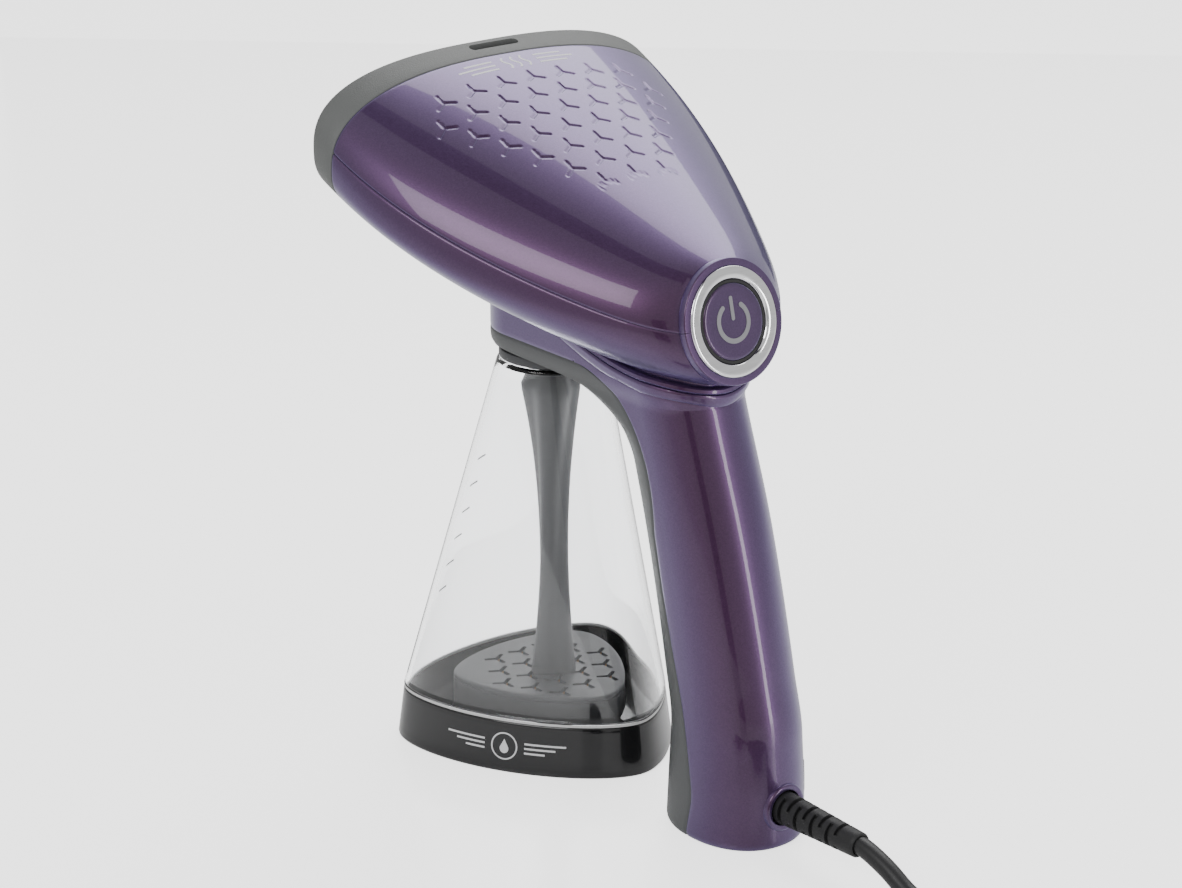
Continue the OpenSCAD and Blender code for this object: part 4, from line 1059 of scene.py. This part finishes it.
def make_base():
    """Gloss base: closed underneath, open on top, with a softened top edge."""
    under = base_ring(0.0, 1.4)
    rows = [shrink(under, k) for k in (0, 0.25, 0.5, 0.75, 0.93)] + [under]
    rows += [base_ring(0.25, 0.75), base_ring(0.7, 0.3), base_ring(1.5, 0.0)]
    rows += [base_ring(z, 0.0) for z in np.linspace(4, 19.2, 9)]
    rows += [base_ring(19.65, 0.1), base_ring(19.9, 0.35), base_ring(20.0, 0.7), base_ring(20.0, 2.0),
             base_ring(19.8, 2.4), base_ring(19.3, 2.5), base_ring(12, 2.5), base_ring(7.2, 2.5),
             base_ring(6.4, 2.8), base_ring(6.0, 3.6)]
    floor_ring = rows[-1]
    rows += [shrink(floor_ring, k) for k in (0.9, 0.6, 0.3, 0)]
    base = grid_object("gloss_base", np.array(rows), close_cols=True)
    crisp(base, 40)
    return base


place(make_base(), "tank", "base_black", "tank_base")
# The seal is a real part, and its white ring also paints in the highlight along the gloss base's top edge.
SEAL_SECTION = [(20.02, 0.15), (20.2, 0.05), (20.8, 0.05), (20.98, 0.15), (20.98, 2.2), (20.02, 2.2)]
seal = grid_object("seal_edge_highlight", np.array([base_ring(z, inset) for z, inset in SEAL_SECTION]),
                   close_cols=True, close_rows=True)
crisp(seal, 40)
place(seal, "tank", "seal_white", "tank_base_seal")
collar_ring = lathe("tank_neck_ring", [(16.85, 152.15), (19.2, 152.15), (19.5, 152.3), (19.6, 152.6),
                                       (19.6, 155.1), (19.45, 155.45), (19.1, 155.6), (16.85, 155.6)],
                    Matrix.Identity(4), 120)
crisp(collar_ring, 40)
place(collar_ring, "tank", "stem_grey", "tank_collar")


def make_stem():
    """Twisting three-lobed stem with a round spout on top."""
    rows = []
    for t in np.linspace(0, 1, 46):
        k = min(t / 0.93, 1)
        r = bezier([9.2, 4.8, 4.4, 12.3], k)
        if t > 0.93:
            r -= 5.0 * (t - 0.93) / 0.07
        z = 25.1 + (148 - 25.1) * t
        a = np.radians(ROUND[::2])
        rr = r * (0.86 + 0.14 * np.cos(3 * (a - math.radians(60 * t))))
        rows.append(np.stack([rr * np.cos(a), rr * np.sin(a), np.full_like(a, z)], -1))
    a = np.radians(ROUND[::2])
    for r, z in ((4.7, 148.3), (4.5, 149.0), (4.5, 166.6), (4.2, 167.0), (2.9, 167.0), (2.9, 25.3),
                 (3.2, 25.1)):
        rows.append(np.stack([r * np.cos(a), r * np.sin(a), np.full_like(a, z)], -1))
    stem = grid_object("twisted_stem", np.array(rows), close_cols=True, close_rows=True)
    crisp(stem, 50)
    return stem


place(make_stem(), "tank", "stem_grey", "filter_stem")


def filter_ring(z, inset):
    return lobe(33.0, 3.6, -2.6, inset, z, ROUND)


def make_cartridge():
    """Filter cup: closed underneath, open on top, with a softened lower edge."""
    rows = [shrink(filter_ring(12.0, 1.0), k) for k in (0, 0.5, 1)]
    rows += [filter_ring(12.3, 0.3), filter_ring(13.0, 0.0)]
    rows += [filter_ring(z, 0.0) for z in np.linspace(15, 22.6, 5)]
    rows += [filter_ring(22.95, 0.15), filter_ring(22.95, 2.0), filter_ring(14.2, 2.0)]
    rows += [shrink(filter_ring(14.0, 2.4), k) for k in (0.5, 0)]
    cartridge = grid_object("filter_cup", np.array(rows), close_cols=True)
    crisp(cartridge, 40)
    return cartridge


def make_grille():
    """Filter lid with rounded edge and three-armed openings in a honeycomb layout."""
    rows = [shrink(filter_ring(23.1, 0.3), k) for k in (0, 0.5, 1)]
    rows += [filter_ring(23.3, 0.05), filter_ring(24.0, 0.0), filter_ring(24.5, 0.15),
             filter_ring(24.8, 0.45), filter_ring(24.97, 1.0)]
    rows += [shrink(filter_ring(25.0, 1.8), k) for k in (1, 0.97, 0.6, 0.3, 0)]
    lid = grid_object("filter_lid", np.array(rows), close_cols=True)
    cutters = []
    pitch = 11.5
    for row in range(-2, 3):
        for col in range(-3, 4):
            x, y = (col + (0.5 if row % 2 else 0)) * pitch, row * pitch * 0.87
            if not 11 < math.hypot(x, y) < 27:
                continue
            outline = []
            for arm in (90, 210, 330):
                c, s = math.cos(math.radians(arm)), math.sin(math.radians(arm))
                for along, side in ((4.6, -0.85), (5.0, -0.4), (5.0, 0.4), (4.6, 0.85), (0.5, 0.85)):
                    outline.append((x + along * c - side * s, y + along * s + side * c))
            cutters.append(prism("slot", outline, 21, 27))
    cut(lid, join("slots", cutters))
    crisp(lid, 40)
    return lid


place(make_cartridge(), "tank", "stem_grey", "filter_cartridge")
place(make_grille(), "tank", "stem_grey", "filter_grille")


def patch_on(surface, outline_u, outline_v, name, lift=0.06):
    """Thin closed patch of print on a surface, from an outline in the surface's own two lengths."""
    count = len(outline_u)
    outer = [surface(u, v, lift) for u, v in zip(outline_u, outline_v)]
    inner = [surface(u, v, -0.05) for u, v in zip(outline_u, outline_v)]
    verts = [tuple(p * MM) for p in outer + inner]
    faces = [tuple(range(count)), tuple(reversed(range(count, 2 * count)))]
    faces += [((i + 1) % count, i, count + i, count + (i + 1) % count) for i in range(count)]
    obj = new_object(name, verts, faces, smooth=False)
    bm = bmesh.new()
    bm.from_mesh(obj.data)
    bmesh.ops.triangulate(bm, faces=[f for f in bm.faces if len(f.verts) > 4])
    bm.to_mesh(obj.data)
    bm.free()
    clean(obj)
    return obj


def strip_on(surface, points, width, name, lift=0.06):
    """Thin stroke of print on a surface, along points in the surface's own two lengths."""
    p = np.array(points, float)
    d = np.gradient(p, axis=0)
    d /= np.linalg.norm(d, axis=1)[:, None]
    side = np.stack([-d[:, 1], d[:, 0]], -1) * width / 2
    rows = []
    for sign, up in ((1, lift), (-1, lift), (-1, -0.05), (1, -0.05)):
        rows.append([surface(q[0], q[1], up) for q in p + sign * side])
    stroke = np.array(rows)
    count = stroke.shape[1]
    faces = grid_faces(4, count, close_rows=True)
    faces.append((0, count, 2 * count, 3 * count))
    faces.append((4 * count - 1, 3 * count - 1, 2 * count - 1, count - 1))
    obj = new_object(name, stroke.reshape(-1, 3) * MM, faces, smooth=False)
    clean(obj)
    return obj


def on_base(u, z, lift):
    """Point on the base's flank: u runs along the side that faces the handle's right, from its middle."""
    dense = np.linspace(0, 120, 1201)
    ring = lobe(52.9 + (TANK_FOOT_R - 52.9) * z / 20, TANK_CORNER, TANK_MID, -lift, z, dense)
    run = np.concatenate([[0], np.cumsum(np.linalg.norm(np.diff(ring, axis=0), axis=1))])
    at = run[600] - u
    return np.array([np.interp(at, run, ring[:, k]) for k in range(3)])


def base_print():
    """White print on the base: a drop between plain stripes."""
    a = np.linspace(-215, 35, 26)
    drop = [(1.75 * math.cos(math.radians(t)), 9.5 + 1.75 * math.sin(math.radians(t))) for t in a]
    drop.append((0.0, 13.3))
    parts = [patch_on(on_base, [p[0] for p in drop], [p[1] for p in drop], "drop")]
    ring_points = [(5.0 * math.cos(t), 10.5 + 5.0 * math.sin(t)) for t in np.linspace(0, 2 * math.pi, 61)]
    parts.append(strip_on(on_base, ring_points, 0.55, "drop_ring"))
    for side in (-1, 1):
        for z, start, stop in ((12.3, 8.0, 24.0), (10.5, 8.0, 20.0), (8.7, 8.0, 16.0)):
            run = np.linspace(start, stop, 12) * side
            parts.append(strip_on(on_base, [(u, z) for u in run], 0.7, "stripe"))
    return join("base_print", parts)


PRINT_WHITE = moulded("white print", srgb(240, 240, 242), 0.5, 0.1, 0.02, 1200.0, 0.000004)
printed = base_print()
printed.data.materials.append(PRINT_WHITE)
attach(printed, "tank")


def on_tank(x, z, lift):
    """Point on the tank's front wall, at a height and a distance to the right."""
    dense = np.linspace(90, 270, 901)
    ring = tank_ring(z, -lift, dense)
    order = np.argsort(ring[:, 0])
    return np.array([x, np.interp(x, ring[order, 0], ring[order, 1]), z])


ticks = []
for k in range(6):
    z = 107.6 - k * 10.6
    x = 14.5 + k * 2.7
    ticks.append(strip_on(on_tank, [(x + u, z) for u in np.linspace(-2.9, 2.9, 7)], 0.8, "tick", 0.05))
level_marks = join("level_marks", ticks)
TICK_GREY = moulded("grey level print", srgb(96, 98, 102), 0.5, 0.1, 0.02, 1200.0, 0.000004)
level_marks.data.materials.append(TICK_GREY)
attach(level_marks, "tank")


def on_head(x, y, lift):
    """Point on the top of the head over a point of the plan."""
    t = (y + HEAD_FRONT) / HEAD_LENGTH
    v = 0.0
    for _ in range(12):
        t = min(max(t, 0), 1)
        n = float(up_power(t))
        g = max(0.0, 1 - min(1.0, abs(x) / float(head_w(t))) ** n) ** (1 / n)
        v = (float(head_up(t)) + lift) * g
        t = (y + v * math.sin(math.radians(BUTTON_TILT * t)) + HEAD_FRONT) / HEAD_LENGTH
    return np.array([x, y, float(head_mid(t)) + v * math.cos(math.radians(BUTTON_TILT * t))])


def head_print():
    """White print behind the bezel: three rising waves between plain stripes."""
    parts = []
    for x in (-4.2, 0.0, 4.2):
        wave = [(x + 1.0 * math.sin(t * 2 * math.pi), -23.4 + 6.8 * t) for t in np.linspace(0, 1, 28)]
        parts.append(strip_on(on_head, wave, 0.85, "wave"))
    for side in (-1, 1):
        for y, stop in ((-22.4, 22.0), (-20.0, 26.0), (-17.6, 22.0)):
            stripe = [(side * x, y) for x in np.linspace(9.5, stop, 14)]
            parts.append(strip_on(on_head, stripe, 0.8, "stripe"))
    return join("head_print", parts)


waves = head_print()
waves.data.materials.append(PRINT_WHITE)
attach(waves, "steamer")

# ---------------------------------------------------------------- floor, backdrop and lights

def add_floor():
    """Pale floor that curves up into a backdrop far behind, square to the camera."""
    rows = []
    profile = [(2.4, 0.0), (0.6, 0.0), (0.0, 0.0), (-1.4, 0.0), (-2.6, 0.0)]
    profile += [(-2.6 - 1.2 * math.sin(a), 1.2 - 1.2 * math.cos(a)) for a in np.linspace(0.1, 1.57, 14)]
    profile += [(-3.8, 3.6)]
    for y, z in profile:
        rows.append([(x, y, z) for x in (-4.5, -1.5, 0.0, 1.5, 4.5)])
    points = np.array(rows)
    c, s = math.cos(-CAMERA_YAW), math.sin(-CAMERA_YAW)
    x, y = points[..., 0].copy(), points[..., 1].copy()
    points[..., 0], points[..., 1] = x * c + y * s, -x * s + y * c
    floor = new_object("floor", points.reshape(-1, 3), grid_faces(len(rows), 5))
    material, tree, shader = blank_material("pale gloss floor")
    place = tree.nodes.new("ShaderNodeTexCoord").outputs["Object"]
    haze = add(tree, "ShaderNodeTexNoise", {"Vector": place, "Scale": 3.0, "Detail": 2.0}).outputs["Fac"]
    tree.links.new(remap(tree, haze, 0.16, 0.22), shader.inputs["Roughness"])
    shader.inputs["Base Color"].default_value = (0.9, 0.9, 0.9, 1)
    shader.inputs["Specular IOR Level"].default_value = 0.5
    shader.inputs["Emission Color"].default_value = (1, 1, 1, 1)
    path = tree.nodes.new("ShaderNodeLightPath").outputs
    seen = math_node(tree, "MAXIMUM", path["Is Camera Ray"], path["Is Transmission Ray"])
    tree.links.new(remap(tree, seen, 0.12, 1.9), shader.inputs["Emission Strength"])
    floor.data.materials.append(material)


def add_light(name, place, target, width, height, power):
    """Softbox of a width and height in metres, aimed at a point."""
    light = bpy.data.lights.new(name, "AREA")
    light.shape = "RECTANGLE"
    light.size, light.size_y = width, height
    light.energy = power
    obj = bpy.data.objects.new(name, light)
    obj.location = place
    obj.rotation_euler = (Vector(target) - Vector(place)).to_track_quat("-Z", "Y").to_euler()
    bpy.context.collection.objects.link(obj)


def add_flag(name, place, target, width, height, shade):
    """Dark card that gives the lacquer its dark reflections."""
    corners = [(-width / 2, -height / 2, 0), (width / 2, -height / 2, 0), (width / 2, height / 2, 0),
               (-width / 2, height / 2, 0)]
    flag = new_object(name, corners, [(0, 1, 2, 3)], smooth=False)
    flag.location = place
    flag.rotation_euler = (Vector(target) - Vector(place)).to_track_quat("-Z", "Y").to_euler()
    flag.data.materials.append(moulded(name + " cloth", (shade, shade, shade, 1), 0.9, 0.05))
    flag.visible_camera = False
    flag.visible_shadow = False
    flag.visible_diffuse = False
    flag.visible_transmission = False


def add_world():
    world = bpy.data.worlds.new("studio")
    world.use_nodes = True
    bpy.context.scene.world = world
    back = world.node_tree.nodes["Background"]
    back.inputs["Color"].default_value = (1, 1, 1, 1)
    back.inputs["Strength"].default_value = 0.6


add_floor()
add_world()
add_light("back_softbox", (-0.8, -0.45, 1.2), (0, 0.05, 0.2), 1.1, 0.9, 10)
add_light("side_softbox", (1.25, 0.4, 1.2), (0, 0.05, 0.2), 0.9, 0.7, 9)
add_light("right_strip", (-0.5, 1.5, 0.45), (0, 0.08, 0.12), 0.18, 1.0, 5)
add_flag("zenith_flag", (0.12, 0.25, 1.5), (0.12, 0.25, 0), 0.26, 1.7, 0.01)
add_flag("back_flag", (-0.85, -0.85, 0.1), (0, 0.05, 0.2), 1.1, 0.26, 0.015)
add_flag("grip_flag", (0.9, 1.15, 0.15), (0, 0.08, 0.12), 0.3, 0.9, 0.02)

bpy.context.view_layer.update()
